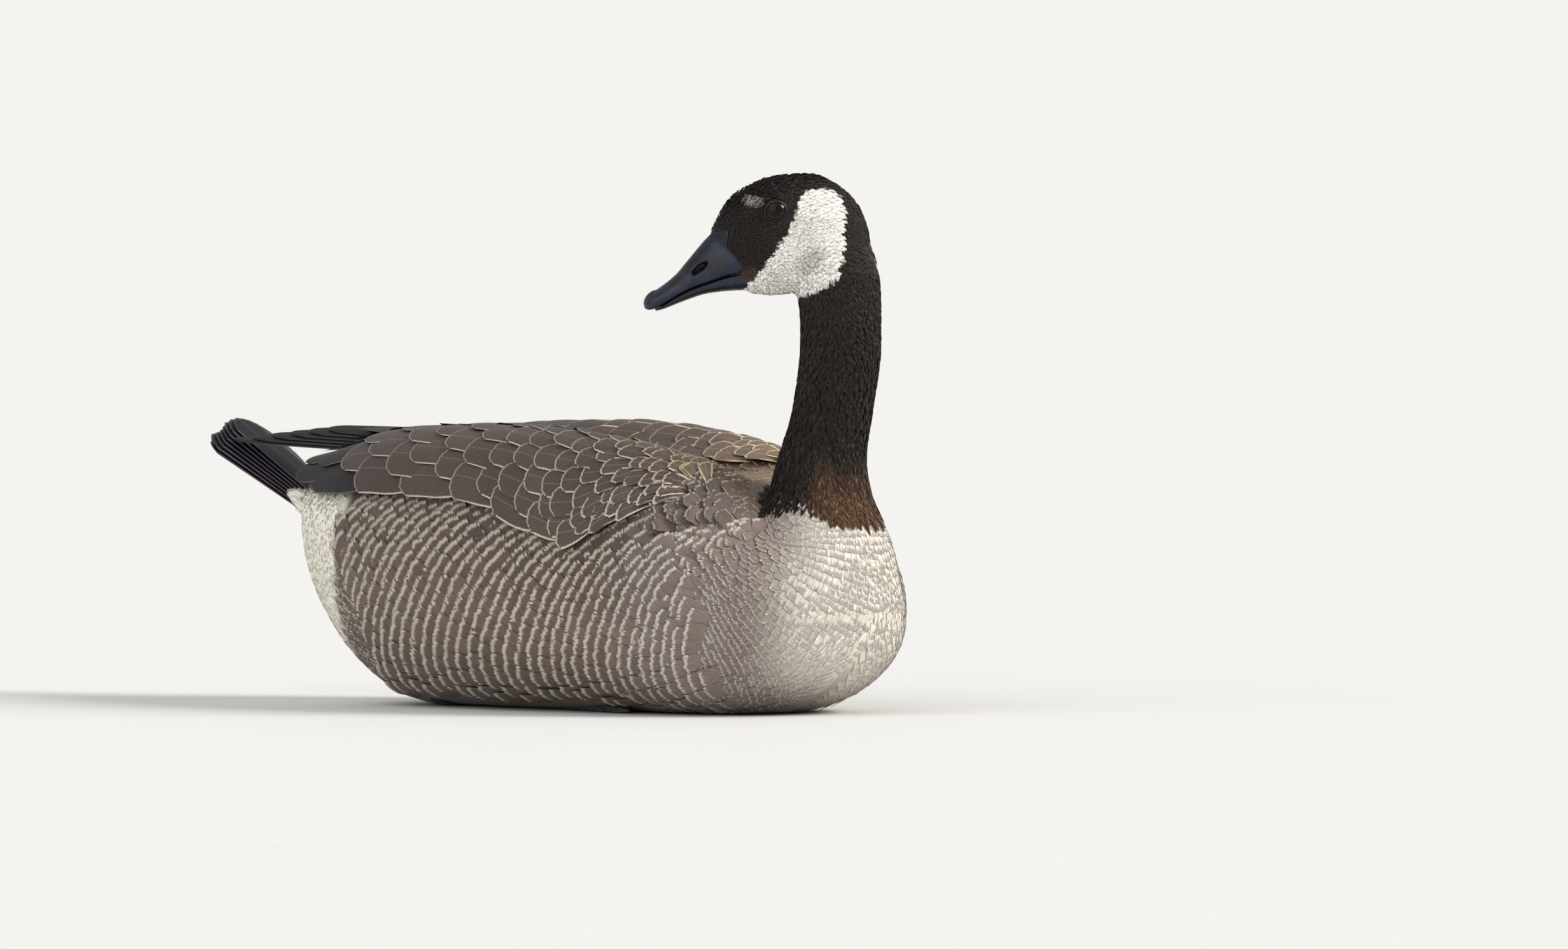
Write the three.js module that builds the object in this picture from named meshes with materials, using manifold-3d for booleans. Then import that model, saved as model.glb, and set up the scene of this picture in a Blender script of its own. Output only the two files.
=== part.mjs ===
// A life-size Canada goose, sitting on its belly with its feet tucked under and its head turned back over
// its right shoulder. Millimetres, +X is the way the breast faces, +Y its left, and z = 0 is the floor.
import * as THREE from "three";
import { mergeVertices } from "three/addons/utils/BufferGeometryUtils.js";
import Module from "manifold-3d";

const wasm = await Module();
wasm.setup();

// Driving sizes
const WATERLINE = 52;
const GAP = 0.3;
const BREAST_X = 196;
const RUMP_X = -239;
const BREAST_RADIUS = 100;
const RUMP_RADIUS = 45;
const RIDGE_SPREAD = 29;
const NECK_JOIN_HEIGHT = WATERLINE + 62;
const HEAD_JOIN_HEIGHT = WATERLINE + 171;
const HEAD_TURN = THREE.MathUtils.degToRad(-137);
const HEAD_PITCH = THREE.MathUtils.degToRad(22);
const EYE_LEVEL = new THREE.Vector3(140.6, -24.5, WATERLINE + 230.6);
const EYE_RADIUS = 7.5;
const EYE_CENTRE_Y = 14;
const LID_Y = 18.6;
const TAIL_ANGLE = THREE.MathUtils.degToRad(31);
const TAIL_ROOT = new THREE.Vector3(-190, 0, WATERLINE + 39);
const TAIL_LENGTH = 132.5;
const SIDES = [
  { name: "left", sign: 1, droop: 0, rise: 1.5, coreEnd: -218 },
  { name: "right", sign: -1, droop: 13, rise: 0, coreEnd: -208 },
];

// A smooth curve through [place, value] pairs that never overshoots them.
function profile(pairs) {
  const slopes = pairs.slice(1).map(([x, y], i) => (y - pairs[i][1]) / (x - pairs[i][0]));
  const tangents = pairs.map((_, i) => {
    const before = slopes[i - 1] ?? slopes[0];
    const after = slopes[i] ?? slopes[i - 1];
    return before * after <= 0 ? 0 : (2 * before * after) / (before + after);
  });
  return (x) => {
    if (x <= pairs[0][0]) return pairs[0][1];
    const next = pairs.findIndex(([place]) => place >= x);
    if (next < 0) return pairs[pairs.length - 1][1];
    const [x0, y0] = pairs[next - 1];
    const [x1, y1] = pairs[next];
    const span = x1 - x0;
    const t = (x - x0) / span;
    const hermite =
      (1 + 2 * t) * (1 - t) ** 2 * y0 +
      t * (1 - t) ** 2 * span * tangents[next - 1] +
      t * t * (3 - 2 * t) * y1 +
      t * t * (t - 1) * span * tangents[next];
    return hermite;
  };
}

function smoothstep(from, to, x) {
  const t = Math.min(1, Math.max(0, (x - from) / (to - from)));
  return t * t * (3 - 2 * t);
}

// How far a body has closed towards its rounded ends, from 0 at the very end to 1 in its middle.
function endRounding(x, rear, rearRadius, front, frontRadius) {
  const share = (depth, radius) => Math.sqrt(Math.max(0, 1 - Math.max(0, 1 - depth / radius) ** 2));
  return share(front - x, frontRadius) * share(x - rear, rearRadius);
}

// A point on an oval section: angle 0 is the top and runs towards +Y.
function ovalPoint({ halfWidth, top, middle, bottom, upperPower, lowerPower }, angle) {
  const across = Math.sin(angle);
  const up = Math.cos(angle);
  const power = up >= 0 ? upperPower : lowerPower;
  const reach = (Math.abs(across) ** power + Math.abs(up) ** power) ** (-1 / power);
  const height = up >= 0 ? top - middle : middle - bottom;
  return [halfWidth * reach * across, middle + height * reach * up];
}

// Makes a solid of a closed geometry, with its faces pointing out.
function solid(geometry) {
  const bare = new THREE.BufferGeometry().setAttribute("position", geometry.getAttribute("position"));
  bare.setIndex(geometry.index);
  const merged = mergeVertices(bare, 1e-4);
  const corners = merged.index.array;
  const kept = [];
  for (let i = 0; i < corners.length; i += 3) {
    const [a, b, c] = corners.slice(i, i + 3);
    if (a !== b && b !== c && c !== a) kept.push(a, b, c);
  }
  const make = (triangles) =>
    new wasm.Manifold(
      new wasm.Mesh({
        numProp: 3,
        vertProperties: merged.attributes.position.array,
        triVerts: new Uint32Array(triangles),
      }),
    );
  const made = make(kept);
  return made.volume() > 0 ? made : make(kept.reverse());
}

function geometryOf(positions, triangles) {
  const numbers = positions.flatMap((point) => point.toArray());
  return new THREE.BufferGeometry()
    .setAttribute("position", new THREE.Float32BufferAttribute(numbers, 3))
    .setIndex(triangles);
}

// A closed solid through rings of points, closed at each end on the ring's centre.
function loft(rings) {
  const around = rings[0].length;
  const centre = (ring) =>
    ring.reduce((sum, p) => sum.add(p), new THREE.Vector3()).multiplyScalar(1 / around);
  const positions = [...rings.flat(), centre(rings[0]), centre(rings[rings.length - 1])];
  const first = positions.length - 2;
  const triangles = [];
  for (let i = 0; i < around; i += 1) {
    const j = (i + 1) % around;
    triangles.push(first, j, i);
    const lastRing = (rings.length - 1) * around;
    triangles.push(first + 1, lastRing + i, lastRing + j);
    for (let row = 0; row < lastRing; row += around) {
      triangles.push(row + i, row + j, row + around + j, row + i, row + around + j, row + around + i);
    }
  }
  return solid(geometryOf(positions, triangles));
}

// A round-ended row of places between two ends, closer together near the ends.
function spread(from, to, count) {
  const middle = (from + to) / 2;
  const half = (to - from) / 2;
  const step = Math.PI / (count - 0.3);
  return Array.from({ length: count }, (_, i) => middle - half * Math.cos(step * (i + 0.35)));
}

function ball(centre, radius, columns, rows) {
  const made = new THREE.SphereGeometry(radius, columns, rows);
  return solid(made.translate(centre.x, centre.y, centre.z));
}

function box(centre, size) {
  return solid(new THREE.BoxGeometry(size.x, size.y, size.z).translate(centre.x, centre.y, centre.z));
}

function largest(made) {
  return made.decompose().sort((a, b) => b.volume() - a.volume())[0];
}

// The trunk's sizes along X: heights are above the waterline.
const TRUNK = {
  halfWidth: profile([
    [-239, 44], [-225, 47], [-196, 57], [-147, 81], [-86, 96], [-18, 100], [50, 99], [111, 93],
    [160, 84], [196, 82],
  ]),
  top: profile([
    [-239, 80], [-196, 87], [-147, 98], [-86, 107], [-34, 110], [0, 108.5], [55, 101], [97, 91],
    [130, 79], [160, 70], [196, 64],
  ]),
  middle: profile([[-239, 66], [-227, 60], [-196, 42], [-147, 24], [-86, 10], [0, 3], [196, 3]]),
  bottom: profile([[-239, 58], [-228, 26], [-205, -6], [-165, -40], [-120, -57], [130, -57], [196, -52]]),
  valley: profile([[-205, 0], [-160, 10], [-100, 20], [0, 24], [60, 20], [105, 8], [135, 0]]),
  upperPower: 2.7,
  lowerPower: 2.4,
};

function trunkSection(x, grow = 0) {
  const close = endRounding(x, RUMP_X - grow, RUMP_RADIUS, BREAST_X + grow, BREAST_RADIUS);
  const middle = WATERLINE + TRUNK.middle(x);
  return {
    halfWidth: TRUNK.halfWidth(x) * close + grow,
    middle,
    top: middle + (WATERLINE + TRUNK.top(x) - middle) * close + grow,
    bottom: middle + (WATERLINE + TRUNK.bottom(x) - middle) * close - grow,
    upperPower: TRUNK.upperPower,
    lowerPower: TRUNK.lowerPower,
    valley: TRUNK.valley(x),
  };
}

function backPoint(x, section, angle) {
  const [y, z] = ovalPoint(section, angle);
  const dip = Math.cos(angle) > 0 ? section.valley * Math.exp(-((y / RIDGE_SPREAD) ** 2)) : 0;
  return new THREE.Vector3(x, y, z - dip);
}

const TRUNK_STATIONS = 18;
const TRUNK_SIDES = 26;

function trunkSolid(grow = 0) {
  const ends = [RUMP_X - grow, BREAST_X + grow];
  const rings = spread(...ends, TRUNK_STATIONS).map((x) => {
    const section = trunkSection(x, grow);
    const step = (2 * Math.PI) / TRUNK_SIDES;
    return Array.from({ length: TRUNK_SIDES }, (_, i) => backPoint(x, section, step * i));
  });
  return loft(rings);
}

// The neck's line from inside the breast to inside the head: height above the waterline, place and radius.
const NECK = {
  x: profile([
    [5, 138], [50, 150.5], [86, 152.4], [119, 161.4], [158, 167.6], [190, 166.2], [219, 160.3],
    [240, 150],
  ]),
  y: profile([[5, 0], [174, 0], [190, -0.8], [204, -2.9], [219, -6.2], [232, -11], [240, -15]]),
  radius: profile([
    [5, 60], [50, 40], [72, 29.5], [97, 24.8], [119, 23.2], [158, 23.3], [204, 25], [219, 24],
    [232, 19], [240, 11],
  ]),
};
const NECK_SIDES = 18;

function neckSolid(from, to, count, grow = 0) {
  const rings = Array.from({ length: count }, (_, i) => {
    const height = from + ((to - from) * i) / (count - 1);
    const radius = NECK.radius(height) + grow;
    return Array.from({ length: NECK_SIDES }, (__, j) => {
      const angle = (2 * Math.PI * j) / NECK_SIDES;
      return new THREE.Vector3(
        NECK.x(height) + radius * Math.cos(angle),
        NECK.y(height) + radius * Math.sin(angle),
        WATERLINE + height,
      );
    });
  });
  return loft(rings);
}

// The folded wing's outer surface along X, which leaves the trunk towards the tail. Inner is the distance
// of its upper edge from the spine, and outer the height of its lower edge.
const WING = {
  halfWidth: profile([
    [-240, 30], [-196, 55], [-147, 80], [-86, 97], [-18, 102], [50, 101], [111, 94], [130, 90],
  ]),
  top: profile([
    [-240, 101], [-196, 106], [-147, 110.5], [-86, 112.5], [-26, 113], [20, 109.5], [58, 103.5],
    [97, 93], [130, 81],
  ]),
  middle: profile([[-240, 76], [-196, 52], [-147, 28], [-86, 10], [0, 3], [130, 3]]),
  valley: profile([[-240, 0], [-160, 12], [-100, 20], [0, 24], [60, 20], [105, 8], [135, 0]]),
  inner: profile([[-240, 6], [-160, 6], [-40, 6], [30, 10], [80, 26], [122, 56]]),
  outer: profile([
    [-240, 86], [-200, 80], [-138, 74], [-70, 72], [-26, 67], [10, 55], [48, 46], [76, 58],
    [101, 68], [122, 72],
  ]),
  thickness: profile([[-225, 4], [-196, 6], [-120, 9], [60, 9], [118, 4]]),
};
const WING_FRONT = 118;
const WING_EDGE = 1.4;

function wingSection(x) {
  return {
    halfWidth: WING.halfWidth(x),
    middle: WATERLINE + WING.middle(x),
    top: WATERLINE + WING.top(x),
    bottom: WATERLINE,
    upperPower: 2.7,
    lowerPower: 2.4,
    valley: WING.valley(x),
  };
}

// The angle on the section at a share of the folded wing's breadth: 0 at its upper edge, 1 at its lower.
function wingAngle(x, share) {
  const { halfWidth, middle, top, upperPower: power } = wingSection(x);
  const innerShare = WING.inner(x) / halfWidth;
  const outerShare = (WATERLINE + WING.outer(x) - middle) / (top - middle);
  const inner = Math.atan2(innerShare, (1 - innerShare ** power) ** (1 / power));
  const outer = Math.atan2((1 - outerShare ** power) ** (1 / power), outerShare);
  return inner + (outer - inner) * share;
}

// A point on a folded wing: x along the body, share of its breadth, lift out from the surface.
function wingPoint(side, x, share, lift = 0) {
  const at = (px, ps) => backPoint(px, wingSection(px), wingAngle(px, ps));
  const point = at(x, share);
  const alongX = at(x + 0.5, share).sub(at(x - 0.5, share));
  const round = at(x, share + 0.01).sub(at(x, share - 0.01));
  point.addScaledVector(round.cross(alongX).normalize(), -lift);
  point.z += side.rise * smoothstep(-120, -30, x) * smoothstep(110, 40, x);
  point.z -= side.droop * smoothstep(-110, -240, x);
  point.y *= side.sign;
  return point;
}

// How broad the folded wing is at x, along its surface.
function wingBreadth(x) {
  const shares = [0, 0.25, 0.5, 0.75, 1];
  const points = shares.map((share) => backPoint(x, wingSection(x), wingAngle(x, share)));
  return points.slice(1).reduce((sum, point, i) => sum + point.distanceTo(points[i]), 0);
}

function wingCore(side, grow = 0) {
  const stations = 11;
  const across = 6;
  const front = WING_FRONT + grow;
  const length = front - side.coreEnd + grow;
  const rings = Array.from({ length: stations }, (_, i) => {
    const x = front - (length * i) / (stations - 1);
    const margin = grow / 80;
    const shares = Array.from({ length: across }, (__, j) => j / (across - 1));
    const widened = shares.map((share) => share * (1 + 2 * margin) - margin);
    const rounding = (share) => Math.sqrt(4 * share * (1 - share));
    const depth = shares.map((share) => WING_EDGE + WING.thickness(x) * rounding(share) + grow);
    const outside = widened.map((share) => wingPoint(side, x, share, grow));
    const inside = widened.map((share, j) => wingPoint(side, x, share, -depth[j]));
    return [...outside, ...inside.reverse()];
  });
  return loft(rings);
}

// Cutters that part the neck from the trunk and the head from the neck.
function slab(low, high) {
  const size = new THREE.Vector3(300, 300, high - low);
  return box(new THREE.Vector3(140, 0, (low + high) / 2), size);
}

const ROOF = WATERLINE + 400;
const trunk = trunkSolid();
const neckWhole = neckSolid(5, 240, 19);
const neckGrown = neckSolid(5, 240, 19, GAP);
const aboveJoin = slab(NECK_JOIN_HEIGHT, ROOF);
const aboveHeadJoin = slab(HEAD_JOIN_HEIGHT, ROOF);
const neck = neckWhole.intersect(aboveJoin).subtract(slab(HEAD_JOIN_HEIGHT - GAP, ROOF));
const belowFloor = box(new THREE.Vector3(0, 0, -100), new THREE.Vector3(900, 600, 200));

// Puts a solid of the head's own frame, with the eyes' level at its origin, in its place on the body.
const headPlace = new THREE.Matrix4()
  .makeTranslation(EYE_LEVEL)
  .multiply(new THREE.Matrix4().makeRotationZ(HEAD_TURN))
  .multiply(new THREE.Matrix4().makeRotationY(HEAD_PITCH));

function onBody(made) {
  return made.transform(headPlace.elements);
}

// Sections along the head's own X, from the back of the skull to the face: heights are from the eye.
function lengthwiseLoft(sizes, grow = 0) {
  const { stations, sides, rearRadius, frontRadius } = sizes;
  const rear = sizes.rear - grow;
  const front = sizes.front + grow;
  const rings = spread(rear, front, stations).map((x) => {
    const close = endRounding(x, rear, rearRadius, front, frontRadius);
    const middle = sizes.middle(x);
    const section = {
      halfWidth: sizes.halfWidth(x) * close + grow,
      middle,
      top: middle + (sizes.top(x) - middle) * close + grow,
      bottom: middle + (sizes.bottom(x) - middle) * close - grow,
      upperPower: sizes.upperPower,
      lowerPower: sizes.lowerPower,
    };
    return Array.from({ length: sides }, (_, i) => {
      const [y, z] = ovalPoint(section, (2 * Math.PI * i) / sides);
      return new THREE.Vector3(x, y, z);
    });
  });
  return loft(rings);
}

const SKULL = {
  stations: 14, sides: 20,
  rear: -45.5, rearRadius: 20, front: 47, frontRadius: 8, upperPower: 2.05, lowerPower: 2.3,
  halfWidth: profile([
    [-45, 21], [-31, 22.5], [-16, 22.5], [0, 21.3], [13, 19], [24, 15.8], [31, 13.2], [36, 10.6],
    [47, 7],
  ]),
  top: profile([
    [-45, 6], [-31, 10], [-16, 15.3], [-1, 19.1], [13, 18.6], [24, 14.9], [31, 10], [37, 5],
    [42, 0.6], [47, -4],
  ]),
  middle: profile([[-45, -22], [0, -19], [24, -17], [47, -16]]),
  bottom: profile([
    [-45, -50], [-31, -52], [-16, -51], [0, -48], [12, -46], [22, -42.6], [31, -37.4], [38, -33],
    [47, -29],
  ]),
};
const UPPER_BILL = {
  stations: 13, sides: 16,
  rear: 23, rearRadius: 4, front: 88.6, frontRadius: 7, upperPower: 1.75, lowerPower: 5,
  halfWidth: profile([
    [23, 11], [30, 13.2], [38, 12.8], [50, 10.6], [62, 9.2], [74, 8.6], [82, 8.3], [88, 8],
  ]),
  top: profile([
    [23, 1], [30, 2], [36, 2.2], [42, 0.2], [48.5, -3.1], [57, -7.7], [65.6, -12.2], [73, -14.6],
    [80.5, -16.2], [88, -17],
  ]),
  middle: profile([[23, -20], [60, -20], [75, -22], [88, -22.5]]),
  bottom: profile([
    [23, -25.2], [32, -25.1], [40, -23.8], [50, -23.2], [59, -22.7], [68.5, -23.4], [77.5, -25],
    [88, -26],
  ]),
};
const LOWER_BILL = {
  stations: 11, sides: 14,
  rear: 22, rearRadius: 4, front: 83.5, frontRadius: 7, upperPower: 5, lowerPower: 2.2,
  halfWidth: profile([[22, 10], [31, 11.6], [40, 11], [50, 9.2], [62, 7.9], [74, 7.2], [84, 6.8]]),
  top: profile([
    [22, -25.6], [32, -25.5], [40, -24.2], [50, -23.6], [59, -23.1], [68.5, -23.8], [77.5, -25.4],
    [88, -26.2],
  ]),
  middle: profile([[22, -27], [40, -25.6], [59, -24.3], [77.5, -26], [84, -26.5]]),
  bottom: profile([[22, -36], [31, -35], [39, -32.6], [46, -30.4], [58, -28], [72, -27.6], [84, -27.6]]),
};
const NAIL_BACK = 80.5;
const NOSTRIL = { x: 51.8, z: -13.9, length: 8, height: 3.3, depth: 5, tilt: 0.42 };

// Tilted ovals that stand round each eye as its lids.
function lidRing(sign) {
  const ring = new THREE.TorusGeometry(6.7, 1.05, 5, 16).scale(1, 0.86, 1);
  ring.rotateX(Math.PI / 2);
  ring.translate(0, sign * LID_Y, 0);
  return solid(ring);
}

function eyeball(sign, grow = 0) {
  return ball(new THREE.Vector3(0, sign * EYE_CENTRE_Y, 0), EYE_RADIUS + grow, 14, 9);
}

function nostrilCutter(sign) {
  const tube = new THREE.CapsuleGeometry(NOSTRIL.height / 2, NOSTRIL.length - NOSTRIL.height, 3, 8);
  tube.rotateZ(Math.PI / 2);
  tube.scale(1, NOSTRIL.depth, 1);
  tube.rotateY(NOSTRIL.tilt);
  tube.translate(NOSTRIL.x, sign * 10.5, NOSTRIL.z);
  return solid(tube);
}

function nail(grow = 0) {
  const plate = new THREE.SphereGeometry(1, 14, 8).scale(6.6 + grow, 5 + grow, 4.4 + grow);
  plate.rotateY(0.5);
  plate.translate(84.2, 0, -20.4);
  return solid(plate);
}

// Small ridges along the edge of the lower bill, where the mouth shows them.
function lamellae() {
  const ridges = [];
  for (let i = 0; i < 9; i += 1) {
    const x = 46 + i * 3.3;
    for (const sign of [1, -1]) {
      const place = new THREE.Vector3(x, sign * (LOWER_BILL.halfWidth(x) - 0.5), LOWER_BILL.top(x) - 1.3);
      ridges.push(box(place, new THREE.Vector3(1.1, 1.6, 1.9)));
    }
  }
  return wasm.Manifold.union(ridges);
}

const upperShape = lengthwiseLoft(UPPER_BILL);
const lowerShape = lengthwiseLoft(LOWER_BILL);
const nostrils = wasm.Manifold.union([1, -1].map(nostrilCutter));
const upperBill = upperShape.add(nail()).subtract(nostrils).subtract(lengthwiseLoft(LOWER_BILL, GAP));
const upperGrown = lengthwiseLoft(UPPER_BILL, GAP).add(nail(GAP));
const lowerBill = largest(lowerShape.add(lamellae()).subtract(upperGrown));

function headSolid() {
  const lids = wasm.Manifold.union([1, -1].map(lidRing));
  const eyes = wasm.Manifold.union([1, -1].map((sign) => eyeball(sign, GAP)));
  const bills = lengthwiseLoft(UPPER_BILL, GAP).add(lengthwiseLoft(LOWER_BILL, GAP));
  const skull = lengthwiseLoft(SKULL);
  const ownFrame = skull.add(lids).subtract(eyes).subtract(bills);
  const neckTop = neckWhole.intersect(aboveHeadJoin);
  const cavities = onBody(eyes.add(bills));
  return largest(onBody(ownFrame).add(neckTop.subtract(cavities)));
}

// The grid of a thin feather: how far along each row lies, and how wide the vane is there.
const VANE_ROWS = [[0, 0.7], [0.5, 1], [0.85, 0.8], [1, 0.34]];

// A closed vane. place(along, across, height) gives its points in millimetres from its root.
function vane(place, { length, halfWidth, thickness, crown = 0.4, rows = VANE_ROWS }, grow = 0) {
  const face = (height) =>
    rows.flatMap(([share, wide]) => {
      const along = -grow + (length + 2 * grow) * share;
      const across = halfWidth * wide + grow;
      return [place(along, -across, height), place(along, 0, height + crown), place(along, across, height)];
    });
  const positions = [...face(grow), ...face(-thickness - grow)];
  const under = rows.length * 3;
  const triangles = [];
  const quad = (a, b, c, d) => triangles.push(a, b, c, a, c, d);
  for (let row = 0; row + 1 < rows.length; row += 1) {
    for (let column = 0; column < 2; column += 1) {
      const a = row * 3 + column;
      triangles.push(a, a + 1, a + 4, a, a + 4, a + 3);
      triangles.push(under + a, under + a + 4, under + a + 1, under + a, under + a + 3, under + a + 4);
    }
    const edge = row * 3;
    quad(edge, edge + 3, under + edge + 3, under + edge);
    quad(edge + 2, under + edge + 2, under + edge + 5, edge + 5);
  }
  const tip = (rows.length - 1) * 3;
  for (let column = 0; column < 2; column += 1) {
    quad(column, under + column, under + column + 1, column + 1);
    quad(tip + column, tip + column + 1, under + tip + column + 1, under + tip + column);
  }
  return solid(geometryOf(positions, triangles));
}

// The smooth stand-in for the tail's fan.
function tailPoint(along, across, height) {
  const drop = 2 * (across / 31) ** 2;
  return new THREE.Vector3(
    TAIL_ROOT.x - along * Math.cos(TAIL_ANGLE) + (height - drop) * Math.sin(TAIL_ANGLE),
    across,
    TAIL_ROOT.z + along * Math.sin(TAIL_ANGLE) + (height - drop) * Math.cos(TAIL_ANGLE),
  );
}

// The tail's feathers fan out from one root, the middle pair on top and longest.
const TAIL_FAN = THREE.MathUtils.degToRad(10.5);
const RECTRICES = { count: 16, step: 1.1, shorter: 5, halfWidth: 11.5 };
const RECTRIX = { thickness: 0.75, crown: 0.35, rows: [[0, 0.5], [0.88, 1], [1, 0.45]] };

function rectrices() {
  const { count, step, shorter, halfWidth } = RECTRICES;
  return Array.from({ length: count }, (_, i) => {
    const offset = (2 * i - (count - 1)) / (count - 1);
    const turn = TAIL_FAN * offset;
    const rank = Math.abs(i - (count - 1) / 2) + (i < count / 2 ? 0 : 0.5);
    const place = (along, across, height) =>
      tailPoint(
        along * Math.cos(turn) - across * Math.sin(turn),
        along * Math.sin(turn) + across * Math.cos(turn),
        height - step * rank,
      );
    return vane(place, { length: TAIL_LENGTH - shorter * offset ** 2, halfWidth, ...RECTRIX });
  });
}

// The tail's fleshy root, which its feathers grow from.
function tailRoot() {
  const rings = [[0, 20, 15], [25, 24, 13], [50, 25, 10], [68, 22, 5]].map(([along, half, thick]) =>
    Array.from({ length: 14 }, (_, i) => {
      const angle = (2 * Math.PI * i) / 14;
      return tailPoint(along, half * Math.cos(angle), -6 + thick * Math.sin(angle));
    }),
  );
  return loft(rings);
}

// The wing's feathers lie in tiers: where each tier's roots are, and how long and broad its vanes are.
const TIERS = [
  { x: 108, length: 33, halfWidth: 12.5 },
  { x: 86, length: 38, halfWidth: 13.5 },
  { x: 60, length: 44, halfWidth: 15 },
  { x: 30, length: 50, halfWidth: 16 },
  { x: -4, length: 56, halfWidth: 16.5 },
  { x: -42, length: 62, halfWidth: 16.5 },
  { x: -84, length: 70, halfWidth: 16.5 },
  { x: -130, length: 86, halfWidth: 15.5 },
];
const TIER_VANE = { thickness: 0.9, crown: 0.5, rows: [[0, 0.85], [0.76, 1], [0.93, 0.75], [1, 0.3]] };
const VANE_SPACING = 1.62;
const ROOT_DEPTH = 1.9;
const TIP_LIFT = 1.7;
const SIDE_TILT = 0.045;

// Feathers low on the shoulder point down along the wing's edge, and the others lie straight back.
function featherTurn(x, share) {
  const alongBreadth = smoothstep(0.2, 0.7, share) * (1 - 0.7 * smoothstep(0.7, 0.95, share));
  return 0.42 * smoothstep(-10, 90, x) * alongBreadth;
}

function tierVanes(side) {
  return TIERS.flatMap(({ x: tierX, length, halfWidth }, tier) => {
    const breadth = wingBreadth(tierX);
    const count = Math.max(2, Math.round(breadth / (halfWidth * VANE_SPACING)));
    return Array.from({ length: count }, (_, i) => {
      const share = (i + (tier % 2 ? 0.58 : 0.34)) / count;
      const x = tierX + 4 * Math.sin(3 * i + 2 * tier);
      const turn = featherTurn(x, share);
      const place = (along, across, height) => {
        const px = x - along * Math.cos(turn) + across * Math.sin(turn);
        const pShare = share + (along * Math.sin(turn) + across * Math.cos(turn)) / breadth;
        const lift = height - ROOT_DEPTH + ((ROOT_DEPTH + TIP_LIFT) * along) / length + SIDE_TILT * across;
        return wingPoint(side, px, pShare, lift);
      };
      return vane(place, { length, halfWidth, ...TIER_VANE });
    });
  });
}

// The long flight feathers behind the wing: each is a blade from its root to its tip, one over the other.
const PRIMARIES = {
  left: { root: [-150, 26, 91], tip: [-289, -20, 96.5], count: 5, stagger: 13, spread: 2.2 },
  right: { root: [-140, -38, 84], tip: [-234, -23, 74], count: 4, stagger: 6, spread: -1 },
};
const BLADE = { halfWidth: 7.5, thickness: 1, crown: 0.5, rows: [[0, 0.8], [0.85, 1], [1, 0.3]] };
const BLADE_STEP = 1.7;

function primaries({ name }, grow = 0) {
  const { root, tip, count, stagger, spread: fan } = PRIMARIES[name];
  const from = new THREE.Vector3(...root);
  const to = new THREE.Vector3(...tip);
  const line = new THREE.Vector3().subVectors(to, from).normalize();
  const across = new THREE.Vector3(line.y, -line.x, 0).normalize();
  return Array.from({ length: count }, (_, i) => {
    const place = (along, aside, height) =>
      from
        .clone()
        .addScaledVector(line, along)
        .addScaledVector(across, aside + fan * i)
        .add(new THREE.Vector3(0, 0, WATERLINE + height + BLADE_STEP * i + 0.05 * aside));
    return vane(place, { length: from.distanceTo(to) - stagger * i, ...BLADE }, grow);
  });
}

const cores = Object.fromEntries(SIDES.map((side) => [side.name, wingCore(side)]));
const grownCores = wasm.Manifold.union(SIDES.map((side) => wingCore(side, GAP)));
const grownTrunk = trunkSolid(GAP).add(neckSolid(5, 100, 10, GAP));
const spineSlot = box(new THREE.Vector3(-20, 0, 200), new THREE.Vector3(400, 2 * GAP, 300));

function wingSolid(side) {
  const whole = wasm.Manifold.union([cores[side.name], ...tierVanes(side), ...primaries(side)]);
  const clear = side.sign < 0 ? whole.subtract(wasm.Manifold.union(primaries(SIDES[0], GAP))) : whole;
  return largest(clear.subtract(spineSlot).subtract(grownTrunk.subtract(grownCores)));
}

// Legs: the shank lies along the floor behind the foot, and the toes reach forward. Toes are given as
// degrees outward, length and radius.
const FOOT = { x: -22, y: 34, web: 2.4 };
const TOES = [[-15, 68, 4.2], [1, 92, 4.6], [16, 84, 4.2]];
const HIND_TOE = [160, 20, 3];
const HEEL = new THREE.Vector3(-104, 41, 7);

function limb(from, to, sizes, sides = 8, grow = 0) {
  const line = new THREE.Vector3().subVectors(to, from);
  const across = new THREE.Vector3(-line.y, line.x, 0).normalize();
  const up = new THREE.Vector3(0, 0, 1);
  const rings = sizes.map(([share, radius]) =>
    Array.from({ length: sides }, (_, i) => {
      const angle = (2 * Math.PI * (i + 0.5)) / sides;
      return from
        .clone()
        .addScaledVector(line, share)
        .addScaledVector(across, (radius + grow) * Math.cos(angle))
        .addScaledVector(up, (radius + grow) * Math.sin(angle));
    }),
  );
  return loft(rings);
}

function toeEnd(sign, degrees, length, height) {
  const turn = THREE.MathUtils.degToRad(degrees) * sign;
  const across = sign * FOOT.y + length * Math.sin(turn);
  return new THREE.Vector3(FOOT.x + length * Math.cos(turn), across, height);
}

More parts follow.
